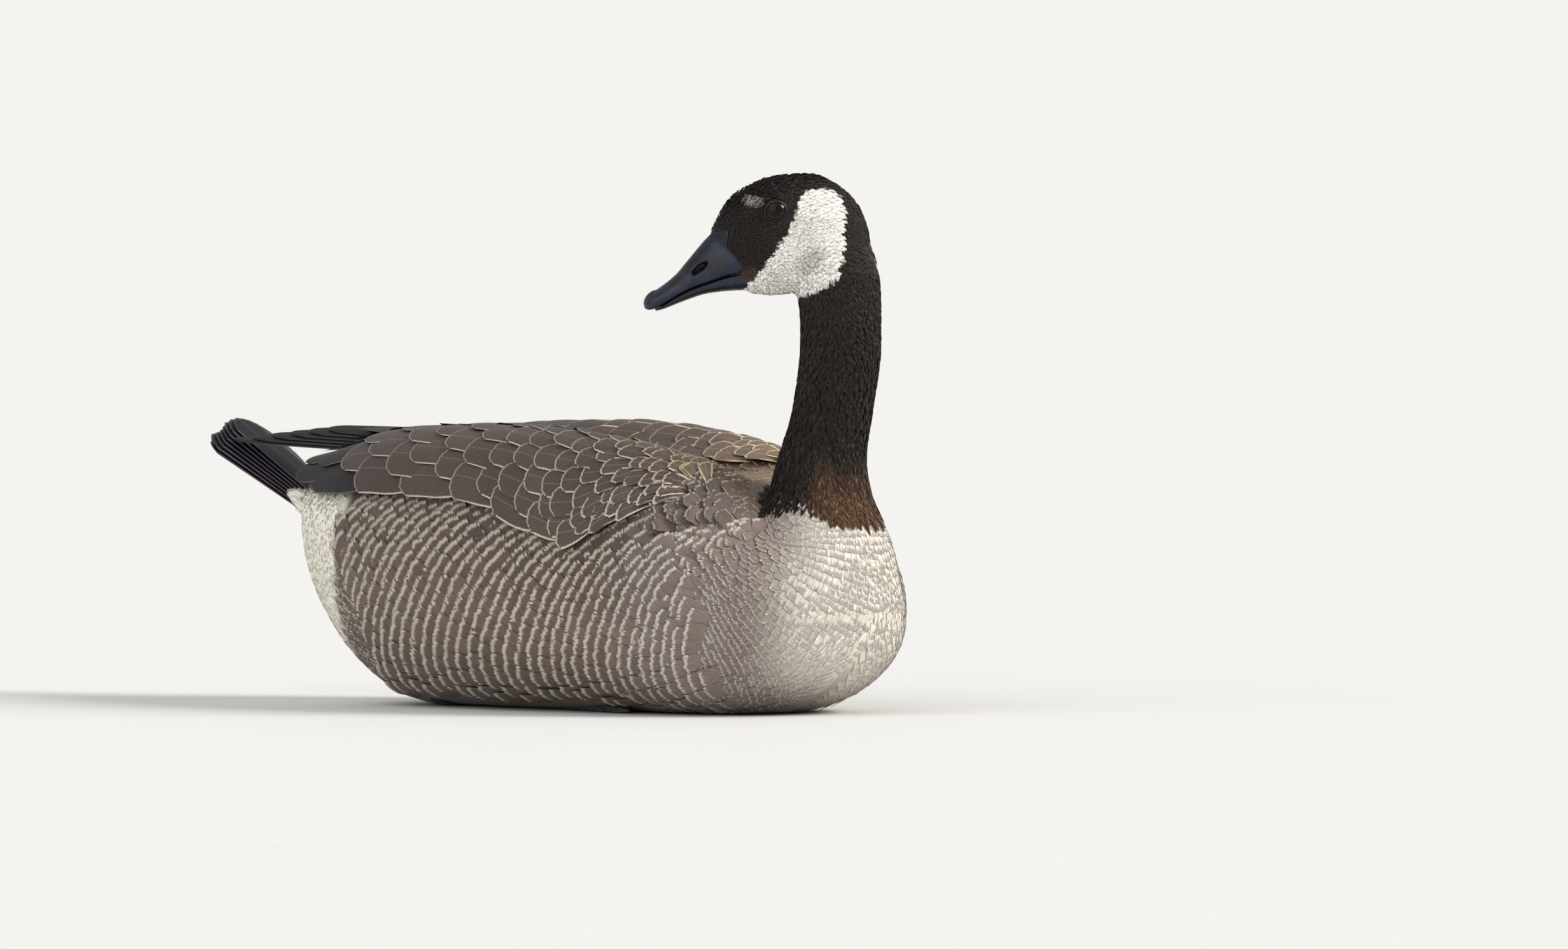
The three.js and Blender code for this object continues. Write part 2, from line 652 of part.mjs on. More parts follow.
function footSolid(sign, grow = 0) {
  const ankle = new THREE.Vector3(FOOT.x, sign * FOOT.y, 3);
  const pieces = TOES.map(([degrees, length, radius]) => {
    const sizes = [[0, 0.9], [0.32, 1], [0.62, 0.85], [0.9, 0.7], [1, 0.2]];
    const scaled = sizes.map(([share, part]) => [share, radius * part]);
    return limb(ankle, toeEnd(sign, degrees, length, 1.2), scaled, 6, grow);
  });
  const [hindDegrees, hindLength, hindRadius] = HIND_TOE;
  const hindSizes = [[0, hindRadius], [0.7, hindRadius * 0.8], [1, 0.5]];
  pieces.push(limb(ankle, toeEnd(sign, -hindDegrees, hindLength, 1.2), hindSizes, 6, grow));
  const tips = TOES.map(([degrees, length]) => toeEnd(sign, degrees, length, 0));
  for (const [a, b] of [[0, 1], [1, 2]]) {
    const reach = (tip, share) =>
      new THREE.Vector2(ankle.x + (tip.x - ankle.x) * share, ankle.y + (tip.y - ankle.y) * share);
    const sag = reach(tips[a], 0.7).add(reach(tips[b], 0.7)).multiplyScalar(0.5);
    const outline = new THREE.Shape([reach(tips[a], 0), reach(tips[a], 0.84), sag, reach(tips[b], 0.84)]);
    const web = new THREE.ExtrudeGeometry(outline, { depth: FOOT.web + grow, bevelEnabled: false });
    pieces.push(solid(indexed(web)));
  }
  return wasm.Manifold.union(pieces).subtract(belowFloor);
}

function indexed(geometry) {
  geometry.deleteAttribute("normal");
  geometry.deleteAttribute("uv");
  return mergeVertices(geometry, 1e-4);
}

function legSolid(sign, grow = 0) {
  const heel = new THREE.Vector3(HEEL.x, sign * HEEL.y, HEEL.z);
  const ankle = new THREE.Vector3(FOOT.x - 1, sign * FOOT.y, 4);
  const sizes = [[-0.09, 4.5], [-0.04, 7], [0.05, 7.2], [0.16, 5.4], [0.97, 5]];
  return limb(heel, ankle, sizes, 6, grow).subtract(belowFloor);
}

const legPockets = wasm.Manifold.union(
  SIDES.flatMap(({ sign }) => [footSolid(sign, GAP), legSolid(sign, GAP)]),
);

const rump = wasm.Manifold.union([tailRoot(), ...rectrices()]);
const grownPrimaries = wasm.Manifold.union(SIDES.flatMap((side) => primaries(side, GAP)));
const tail = largest(rump.subtract(trunkSolid(GAP)).subtract(grownCores).subtract(grownPrimaries));
const torso = largest(
  trunk
    .add(neckWhole.subtract(slab(NECK_JOIN_HEIGHT - GAP, ROOF)))
    .subtract(neckGrown.intersect(slab(NECK_JOIN_HEIGHT - GAP, ROOF)))
    .subtract(grownCores)
    .subtract(belowFloor)
    .subtract(legPockets),
);

const COLOURS = {
  neck: [0x1c1816, 0.9],
  breast: [0xb9a893, 0.9],
  wing: [0x6f635a, 0.8],
  tail: [0x17161a, 0.7],
  bill: [0x17191f, 0.35],
  eye: [0x1a0e09, 0.1],
  leg: [0x22211f, 0.6],
};

function meshOf(name, made, [colour, roughness]) {
  const { vertProperties, triVerts } = made.getMesh();
  const geometry = new THREE.BufferGeometry()
    .setAttribute("position", new THREE.BufferAttribute(vertProperties, 3))
    .setIndex(new THREE.BufferAttribute(triVerts, 1));
  geometry.computeVertexNormals();
  const material = new THREE.MeshStandardMaterial({ color: colour, roughness, metalness: 0 });
  const mesh = new THREE.Mesh(geometry, material);
  mesh.name = name;
  return mesh;
}

const goose = new THREE.Group();
goose.name = "canada_goose";
goose.add(meshOf("torso", torso, COLOURS.breast));
goose.add(meshOf("neck", largest(neck), COLOURS.neck));
goose.add(meshOf("head", headSolid(), COLOURS.neck));
goose.add(meshOf("bill_upper", onBody(upperBill), COLOURS.bill));
goose.add(meshOf("bill_lower", onBody(lowerBill), COLOURS.bill));
goose.add(meshOf("tail", tail, COLOURS.tail));
for (const side of SIDES) {
  const { name, sign } = side;
  const foot = footSolid(sign);
  const leg = legSolid(sign).subtract(footSolid(sign, GAP));
  goose.add(meshOf(`wing_${name}`, wingSolid(side), COLOURS.wing));
  goose.add(meshOf(`eye_${name}`, onBody(eyeball(sign)), COLOURS.eye));
  goose.add(meshOf(`leg_${name}`, largest(leg), COLOURS.leg));
  goose.add(meshOf(`foot_${name}`, largest(foot), COLOURS.leg));
}

export default goose;
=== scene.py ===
# The looks of a life-size Canada goose: one skin, feathers laid over it vane by vane, bill, eyes and lids.
# Shapes are worked out in millimetres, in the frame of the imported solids, and made in metres.
import math

import bpy
import numpy as np
from mathutils import Matrix, Vector
from mathutils.bvhtree import BVHTree


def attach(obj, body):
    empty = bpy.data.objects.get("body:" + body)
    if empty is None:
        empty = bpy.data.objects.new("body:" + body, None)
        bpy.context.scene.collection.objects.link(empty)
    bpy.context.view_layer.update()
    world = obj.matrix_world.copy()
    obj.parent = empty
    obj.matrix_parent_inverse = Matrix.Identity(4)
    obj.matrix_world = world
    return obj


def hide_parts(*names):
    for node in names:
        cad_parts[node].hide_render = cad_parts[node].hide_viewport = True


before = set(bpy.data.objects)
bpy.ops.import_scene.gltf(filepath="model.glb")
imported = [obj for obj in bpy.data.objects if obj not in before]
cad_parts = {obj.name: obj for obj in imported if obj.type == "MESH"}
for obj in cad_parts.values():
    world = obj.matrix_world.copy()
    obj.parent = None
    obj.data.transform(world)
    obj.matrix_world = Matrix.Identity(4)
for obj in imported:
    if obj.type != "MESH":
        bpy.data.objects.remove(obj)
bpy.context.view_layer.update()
BODY = "root"
MM = 0.001

# Driving sizes, as in the solids
WATERLINE = 52.0
BREAST_X, BREAST_RADIUS = 196.0, 100.0
RUMP_X, RUMP_RADIUS = -239.0, 45.0
RIDGE_SPREAD = 29.0
HEAD_TURN = math.radians(-137)
HEAD_PITCH = math.radians(22)
EYE_LEVEL = np.array([140.6, -24.5, WATERLINE + 230.6])
EYE_RADIUS = 7.5
EYE_CENTRE_Y = 14.0
TAIL_ANGLE = math.radians(31)
TAIL_ROOT = np.array([-190.0, 0.0, WATERLINE + 39])
TAIL_LENGTH = 132.5
SIDES = {
    "left": {"sign": 1.0, "droop": 0.0, "rise": 1.5, "core_end": -218.0},
    "right": {"sign": -1.0, "droop": 13.0, "rise": 0.0, "core_end": -208.0},
}

# How deep the skin lies under the feather tips
TRUNK_COAT = 2.6
NECK_COAT = 1.5
HEAD_COAT = 0.9

# The skin's voxels, and the lowest points of skin and vanes
SKIN_GRAIN = 2.3
LOWEST_SKIN = 0.4
LOWEST_VANE = 0.2

# The rim distance of under sides, which have no fringe
FAR_FROM_RIM = 400.0


def smoothstep(low, high, x):
    t = np.clip((np.asarray(x, float) - low) / (high - low), 0, 1)
    return t * t * (3 - 2 * t)


def unit(v):
    return v / np.maximum(np.linalg.norm(v, axis=-1, keepdims=True), 1e-9)


def vectors(x, y, z):
    """Points or directions from their three parts, any of which may be a single number."""
    return np.stack(np.broadcast_arrays(x, y, z), -1).astype(float)


def srgb(red, green, blue):
    """A colour read on the 0 to 255 scale, as the linear one that shaders use."""
    c = np.array([red, green, blue], float) / 255
    return np.where(c <= 0.04045, c / 12.92, ((c + 0.055) / 1.055) ** 2.4)


def profile(pairs):
    """A smooth curve through (place, value) pairs that never overshoots them."""
    xs, ys = np.array(pairs, float).T
    slopes = np.diff(ys) / np.diff(xs)
    before = np.r_[slopes[0], slopes]
    after = np.r_[slopes, slopes[-1]]
    same_way = before * after > 0
    total = np.where(same_way, before + after, 1)
    tangents = np.where(same_way, 2 * before * after / total, 0)

    def value(x):
        x = np.clip(np.asarray(x, float), xs[0], xs[-1])
        i = np.clip(np.searchsorted(xs, x) - 1, 0, len(xs) - 2)
        span = xs[i + 1] - xs[i]
        t = (x - xs[i]) / span
        rise = (1 + 2 * t) * (1 - t) ** 2 * ys[i] + t * t * (3 - 2 * t) * ys[i + 1]
        return rise + span * t * (1 - t) * ((1 - t) * tangents[i] - t * tangents[i + 1])

    return value


def end_rounding(x, rear, rear_radius, front, front_radius):
    def share(depth, radius):
        return np.sqrt(np.maximum(0, 1 - np.maximum(0, 1 - depth / radius) ** 2))

    return share(front - x, front_radius) * share(x - rear, rear_radius)


def oval_point(half_width, top, middle, bottom, powers, angle):
    """A point on an oval section: angle 0 is the top and runs towards +Y."""
    across, up = np.sin(angle), np.cos(angle)
    power = np.where(up >= 0, powers[0], powers[1])
    reach = (np.abs(across) ** power + np.abs(up) ** power) ** (-1 / power)
    height = np.where(up >= 0, top - middle, middle - bottom)
    return half_width * reach * across, middle + height * reach * up


# The trunk
TRUNK_POWERS = (2.7, 2.4)
TRUNK_HALF = profile([
    (-239, 44), (-225, 47), (-196, 57), (-147, 81), (-86, 96), (-18, 100), (50, 99), (111, 93), (160, 84),
    (196, 82),
])
TRUNK_TOP = profile([
    (-239, 80), (-196, 87), (-147, 98), (-86, 107), (-34, 110), (0, 108.5), (55, 101), (97, 91), (130, 79),
    (160, 70), (196, 64),
])
TRUNK_MIDDLE = profile([(-239, 66), (-227, 60), (-196, 42), (-147, 24), (-86, 10), (0, 3), (196, 3)])
TRUNK_BOTTOM = profile([
    (-239, 58), (-228, 26), (-205, -6), (-165, -40), (-120, -57), (130, -57), (196, -52),
])
TRUNK_VALLEY = profile([(-205, 0), (-160, 10), (-100, 20), (0, 24), (60, 20), (105, 8), (135, 0)])


def back_point(x, half, top, middle, bottom, valley, angle):
    y, z = oval_point(half, top, middle, bottom, TRUNK_POWERS, angle)
    dip = np.where(np.cos(angle) > 0, valley * np.exp(-((y / RIDGE_SPREAD) ** 2)), 0)
    return vectors(x, y, z - dip)


def trunk_point(x, angle, grow=0.0):
    close = end_rounding(x, RUMP_X - grow, RUMP_RADIUS, BREAST_X + grow, BREAST_RADIUS)
    middle = WATERLINE + TRUNK_MIDDLE(x)
    half = TRUNK_HALF(x) * close + grow
    top = middle + (WATERLINE + TRUNK_TOP(x) - middle) * close + grow
    bottom = middle + (WATERLINE + TRUNK_BOTTOM(x) - middle) * close - grow
    return back_point(x, half, top, middle, bottom, TRUNK_VALLEY(x), angle)


# The neck's line, by height above the waterline
NECK_X = profile([
    (5, 138), (50, 150.5), (86, 152.4), (119, 161.4), (158, 167.6), (190, 166.2), (219, 160.3), (240, 150),
])
NECK_Y = profile([(5, 0), (174, 0), (190, -0.8), (204, -2.9), (219, -6.2), (232, -11), (240, -15)])
NECK_RADIUS = profile([
    (5, 60), (50, 40), (72, 29.5), (97, 24.8), (119, 23.2), (158, 23.3), (204, 25), (219, 24), (232, 19),
    (240, 11),
])


def neck_point(height, angle, grow=0.0):
    radius = NECK_RADIUS(height) + grow
    x = NECK_X(height) + radius * np.cos(angle)
    y = NECK_Y(height) + radius * np.sin(angle)
    return vectors(x, y, WATERLINE + height)


# The folded wings
WING_HALF = profile([
    (-240, 30), (-196, 55), (-147, 80), (-86, 97), (-18, 102), (50, 101), (111, 94), (130, 90),
])
WING_TOP = profile([
    (-240, 101), (-196, 106), (-147, 110.5), (-86, 112.5), (-26, 113), (20, 109.5), (58, 103.5), (97, 93),
    (130, 81),
])
WING_MIDDLE = profile([(-240, 76), (-196, 52), (-147, 28), (-86, 10), (0, 3), (130, 3)])
WING_VALLEY = profile([(-240, 0), (-160, 12), (-100, 20), (0, 24), (60, 20), (105, 8), (135, 0)])
WING_INNER = profile([(-240, 6), (-160, 6), (-40, 6), (30, 10), (80, 26), (122, 56)])
WING_OUTER = profile([
    (-240, 86), (-200, 80), (-138, 74), (-70, 72), (-26, 67), (10, 55), (48, 46), (76, 58), (101, 68),
    (122, 72),
])
WING_THICKNESS = profile([(-225, 4), (-196, 6), (-120, 9), (60, 9), (118, 4)])
WING_FRONT = 118.0
WING_EDGE = 1.4


def wing_sheet(x, share):
    """The folded wing's outer surface: share 0 is its upper edge and 1 its lower one."""
    half = WING_HALF(x)
    middle, top = WATERLINE + WING_MIDDLE(x), WATERLINE + WING_TOP(x)
    power = TRUNK_POWERS[0]
    inner_share = WING_INNER(x) / half
    outer_share = (WATERLINE + WING_OUTER(x) - middle) / (top - middle)
    inner = np.arctan2(inner_share, (1 - inner_share**power) ** (1 / power))
    outer = np.arctan2((1 - outer_share**power) ** (1 / power), outer_share)
    angle = inner + (outer - inner) * share
    return back_point(x, half, top, middle, WATERLINE, WING_VALLEY(x), angle)


def wing_point(side, x, share, lift):
    point = wing_sheet(x, share)
    along_x = wing_sheet(x + 0.5, share) - wing_sheet(x - 0.5, share)
    around = wing_sheet(x, share + 0.01) - wing_sheet(x, share - 0.01)
    point = point - unit(np.cross(around, along_x)) * np.asarray(lift)[..., None]
    point[..., 2] += side["rise"] * smoothstep(-120, -30, x) * (1 - smoothstep(40, 110, x))
    point[..., 2] -= side["droop"] * (1 - smoothstep(-240, -110, x))
    point[..., 1] *= side["sign"]
    return point


def wing_breadth(x):
    places = wing_sheet(float(x), np.linspace(0, 1, 9))
    return float(np.linalg.norm(np.diff(places, axis=0), axis=1).sum())


# The head, in its own frame: +X along the bill, heights from the eye
SKULL_ENDS = (-45.5, 20.0, 47.0, 8.0)
SKULL_POWERS = (2.05, 2.3)
SKULL_HALF = profile([
    (-45, 21), (-31, 22.5), (-16, 22.5), (0, 21.3), (13, 19), (24, 15.8), (31, 13.2), (36, 10.6), (47, 7),
])
SKULL_TOP = profile([
    (-45, 6), (-31, 10), (-16, 15.3), (-1, 19.1), (13, 18.6), (24, 14.9), (31, 10), (37, 5), (42, 0.6),
    (47, -4),
])
SKULL_MIDDLE = profile([(-45, -22), (0, -19), (24, -17), (47, -16)])
SKULL_BOTTOM = profile([
    (-45, -50), (-31, -52), (-16, -51), (0, -48), (12, -46), (22, -42.6), (31, -37.4), (38, -33), (47, -29),
])
UPPER_ENDS = (23.0, 4.0, 88.6, 7.0)
UPPER_POWERS = (1.75, 5.0)
UPPER_HALF = profile([
    (23, 11), (30, 13.2), (38, 12.8), (50, 10.6), (62, 9.2), (74, 8.6), (82, 8.3), (88, 8),
])
UPPER_TOP = profile([
    (23, 1), (30, 2), (36, 2.2), (42, 0.2), (48.5, -3.1), (57, -7.7), (65.6, -12.2), (73, -14.6),
    (80.5, -16.2), (88, -17),
])
UPPER_MIDDLE = profile([(23, -20), (60, -20), (75, -22), (88, -22.5)])
UPPER_BOTTOM = profile([
    (23, -25.2), (32, -25.1), (40, -23.8), (50, -23.2), (59, -22.7), (68.5, -23.4), (77.5, -25), (88, -26),
])
LOWER_ENDS = (22.0, 4.0, 83.5, 7.0)
LOWER_POWERS = (5.0, 2.2)
LOWER_HALF = profile([(22, 10), (31, 11.6), (40, 11), (50, 9.2), (62, 7.9), (74, 7.2), (84, 6.8)])
LOWER_TOP = profile([
    (22, -25.6), (32, -25.5), (40, -24.2), (50, -23.6), (59, -23.1), (68.5, -23.8), (77.5, -25.4),
    (88, -26.2),
])
LOWER_MIDDLE = profile([(22, -27), (40, -25.6), (59, -24.3), (77.5, -26), (84, -26.5)])
LOWER_BOTTOM = profile([
    (22, -36), (31, -35), (39, -32.6), (46, -30.4), (58, -28), (72, -27.6), (84, -27.6),
])
SKULL = (SKULL_ENDS, SKULL_POWERS, SKULL_HALF, SKULL_TOP, SKULL_MIDDLE, SKULL_BOTTOM)
UPPER = (UPPER_ENDS, UPPER_POWERS, UPPER_HALF, UPPER_TOP, UPPER_MIDDLE, UPPER_BOTTOM)
LOWER = (LOWER_ENDS, LOWER_POWERS, LOWER_HALF, LOWER_TOP, LOWER_MIDDLE, LOWER_BOTTOM)
HEAD_ROTATION = np.array(Matrix.Rotation(HEAD_TURN, 3, "Z") @ Matrix.Rotation(HEAD_PITCH, 3, "Y"))


def head_section(form, x, angle, grow=0.0):
    (rear, rear_radius, front, front_radius), powers, half, top, middle, bottom = form
    close = end_rounding(x, rear - grow, rear_radius, front + grow, front_radius)
    mid = middle(x)
    high = mid + (top(x) - mid) * close + grow
    low = mid + (bottom(x) - mid) * close - grow
    y, z = oval_point(half(x) * close + grow, high, mid, low, powers, angle)
    return vectors(x, y, z)


def from_head(points):
    return points @ HEAD_ROTATION.T + EYE_LEVEL


def to_head(points):
    return (points - EYE_LEVEL) @ HEAD_ROTATION


def tail_point(along, across, height):
    lifted = height - 2 * (across / 31) ** 2
    sine, cosine = math.sin(TAIL_ANGLE), math.cos(TAIL_ANGLE)
    x = TAIL_ROOT[0] - along * cosine + lifted * sine
    z = TAIL_ROOT[2] + along * sine + lifted * cosine
    return vectors(x, across, z)


# Meshes
def make_mesh(name, points, faces, smooth=True):
    """An object from points in millimetres and faces with equally many corners."""
    faces = np.asarray(faces, np.int32)
    mesh = bpy.data.meshes.new(name)
    mesh.vertices.add(len(points))
    mesh.vertices.foreach_set("co", (np.asarray(points, float) * MM).astype(np.float32).ravel())
    mesh.loops.add(faces.size)
    mesh.loops.foreach_set("vertex_index", faces.ravel())
    mesh.polygons.add(len(faces))
    mesh.polygons.foreach_set("loop_start", np.arange(0, faces.size, faces.shape[1], dtype=np.int32))
    smooth_faces = np.broadcast_to(np.asarray(smooth, bool), len(faces))
    mesh.polygons.foreach_set("use_smooth", smooth_faces.copy())
    mesh.update(calc_edges=True)
    mesh.validate()
    piece = bpy.data.objects.new(name, mesh)
    bpy.context.scene.collection.objects.link(piece)
    return piece


def loft_faces(rings, around):
    """Triangles of a closed tube of rings, with a middle point at each end after the rings' points."""
    i = np.arange(around)
    j = (i + 1) % around
    faces = []
    for row in range(rings - 1):
        a, b = row * around, (row + 1) * around
        faces.append(np.stack([a + i, b + i, b + j], 1))
        faces.append(np.stack([a + i, b + j, a + j], 1))
    first, last = rings * around, rings * around + 1
    end = (rings - 1) * around
    faces.append(np.stack([i, j, np.full(around, first)], 1))
    faces.append(np.stack([end + j, end + i, np.full(around, last)], 1))
    return np.concatenate(faces)


def loft(rings):
    """The points and triangles of a closed tube through rings of points, given as (rings, around, 3). Its
    faces look outward, whichever way the rings run."""
    points = np.concatenate([rings.reshape(-1, 3), rings[:1].mean(1), rings[-1:].mean(1)])
    faces = loft_faces(*rings.shape[:2])
    a, b, c = (points - points.mean(0))[faces].swapaxes(0, 1)
    volume = np.sum(a * np.cross(b, c))
    return points, faces if volume > 0 else faces[:, ::-1]


def spread(start, end, count):
    """Places between two ends, closer together near the ends."""
    steps = (np.arange(count) + 0.35) * math.pi / (count - 0.3)
    return (start + end) / 2 - (end - start) / 2 * np.cos(steps)


def turned(around):
    return np.arange(around) * 2 * math.pi / around


def set_colours(piece, name, values):
    """Stores a colour for each point."""
    four = np.concatenate([values, np.ones((len(values), 1))], 1)
    attribute = piece.data.attributes.new(name, "FLOAT_COLOR", "POINT")
    attribute.data.foreach_set("color", four.astype(np.float32).ravel())


def set_vectors(piece, name, values):
    attribute = piece.data.attributes.new(name, "FLOAT_VECTOR", "POINT")
    attribute.data.foreach_set("vector", values.astype(np.float32).ravel())


def numbers(items, name, width, kind=np.float32):
    found = np.empty(len(items) * width, kind)
    items.foreach_get(name, found)
    return found.reshape(-1, width)


def set_bake_places(piece, values):
    """Stores the place of each point in the bake map."""
    corners = numbers(piece.data.loops, "vertex_index", 1, np.int32)[:, 0]
    layer = piece.data.uv_layers.new(name="OFBake")
    layer.uv.foreach_set("vector", values[corners].astype(np.float32).ravel())


# The skin: trunk, neck, head and the root of the tail in one surface
def skin_lofts():
    angles = turned(56)[None, :]
    grow = -TRUNK_COAT
    trunk_x = spread(RUMP_X - grow, BREAST_X + grow, 60)[:, None]
    yield trunk_point(trunk_x, angles, grow)
    yield neck_point(np.linspace(5, 238, 48)[:, None], angles, -NECK_COAT)
    rear, front = SKULL_ENDS[0] + HEAD_COAT, SKULL_ENDS[2] - HEAD_COAT
    yield from_head(head_section(SKULL, spread(rear, front, 40)[:, None], angles, -HEAD_COAT))
    rings = [(0, 20, 15), (25, 24, 13), (50, 25, 10), (66, 22, 5)]
    yield np.stack([
        tail_point(along, (half - 2) * np.cos(-angles[0]), -6 + (thick - 2) * np.sin(-angles[0]))
        for along, half, thick in rings
    ])


def make_skin():
    points, faces, start = [], [], 0
    for rings in skin_lofts():
        ring_points, ring_faces = loft(rings)
        points.append(ring_points)
        faces.append(ring_faces + start)
        start += len(ring_points)
    skin = make_mesh("skin", np.concatenate(points), np.concatenate(faces))
    remesh = skin.modifiers.new("one_surface", "REMESH")
    remesh.mode = "VOXEL"
    remesh.voxel_size = SKIN_GRAIN * MM
    smooth = skin.modifiers.new("soften", "SMOOTH")
    smooth.factor = 0.5
    smooth.iterations = 6
    evaluated = skin.evaluated_get(bpy.context.evaluated_depsgraph_get())
    made = bpy.data.meshes.new_from_object(evaluated)
    skin.modifiers.clear()
    skin.data = made
    places = numbers(made.vertices, "co", 3)
    places[:, 2] = np.maximum(places[:, 2], LOWEST_SKIN * MM)
    made.vertices.foreach_set("co", places.ravel())
    made.polygons.foreach_set("use_smooth", np.ones(len(made.polygons), bool))
    made.update()
    return skin


skin = make_skin()
skin_places = numbers(skin.data.vertices, "co", 3) / MM
SURFACE = BVHTree.FromPolygons(skin_places.tolist(), [tuple(p.vertices) for p in skin.data.polygons])


def cast(origins, directions):
    """Where rays from inside the body meet the skin, with its normals. Rays that miss give no numbers."""
    places, normals = np.full((2, len(origins), 3), np.nan)
    for i, (origin, direction) in enumerate(zip(origins, directions)):
        place, normal = SURFACE.ray_cast(origin, direction)[:2]
        if place is not None:
            places[i], normals[i] = place, normal
    return places, normals


# Where feathers lie
def conform(roots, normals, flows, length, half):
    """Gives place(along, across, height) for vanes that bend with the skin. Nine points of each are laid on
    it, and a smooth sheet through them carries the rest."""
    asides = np.cross(flows, normals)
    across_at, along_at = np.array([-1.0, 0.0, 1.0]), np.array([0.0, 0.5, 1.0])
    flat = (
        roots[:, None, None]
        + flows[:, None, None] * (length[:, None, None] * along_at[:, None])[..., None]
        + asides[:, None, None] * (half[:, None, None] * across_at[None, :])[..., None]
    )
    laid, upward = np.empty_like(flat), np.empty_like(flat)
    for i in np.ndindex(flat.shape[:3]):
        laid[i], upward[i] = SURFACE.find_nearest(flat[i])[:2]
    bend = laid - flat

    def weights(t, at):
        parts = []
        for i in range(3):
            others = [at[j] for j in range(3) if j != i]
            parts.append((t - others[0]) * (t - others[1]) / ((at[i] - others[0]) * (at[i] - others[1])))
        return np.stack(parts, -1)

    def place(along, across, height):
        w_along = weights(along / length[:, None, None], along_at)
        w_across = weights(across / half[:, None, None], across_at)
        offset = np.einsum("nrca,nrcb,nabk->nrck", w_along, w_across, bend)
        normal = unit(np.einsum("nrca,nrcb,nabk->nrck", w_along, w_across, upward))
        flat_place = (
            roots[:, None, None]
            + flows[:, None, None] * along[..., None]
            + asides[:, None, None] * across[..., None]
        )
        return flat_place + offset + normal * height[..., None]

    return place


PLAIN_LOOK = {
    "crowding": 1.2, "power": 2.5, "root": 0.5, "taper": 0.0, "bow": 0.0, "splay": 0.0, "lift": 0.0,
    "sink": 0.0, "tilt": 0.0, "tilt_spread": 0.0, "frizz": 0.0, "under": 0.72, "thick": 0.3, "side": 1.0,
    "patch": (0.003, 0.003),
}


def vane_faces(columns, rows):
    """The triangles of one vane, and which of them are on its smooth upper side. Each row of its points has
    those of the columns, and then one under the middle."""
    stride = columns + 2
    a = (np.arange(rows)[:, None] * stride + np.arange(columns)[None, :]).ravel()
    left = np.arange(rows) * stride
    right, spine = left + columns, left + columns + 1
    edge, last = np.arange(columns), rows * stride
    corners = [
        (a, a + 1, a + stride + 1), (a, a + stride + 1, a + stride),
        (left, left + stride, spine + stride), (left, spine + stride, spine),
        (right, spine, spine + stride), (right, spine + stride, right + stride),
        (edge + 1, edge, np.full(columns, columns + 1)),
        (last + edge, last + edge + 1, np.full(columns, last + columns + 1)),
    ]
    faces = np.concatenate([np.stack(three, 1) for three in corners])
    return faces, np.arange(len(faces)) < 2 * rows * columns


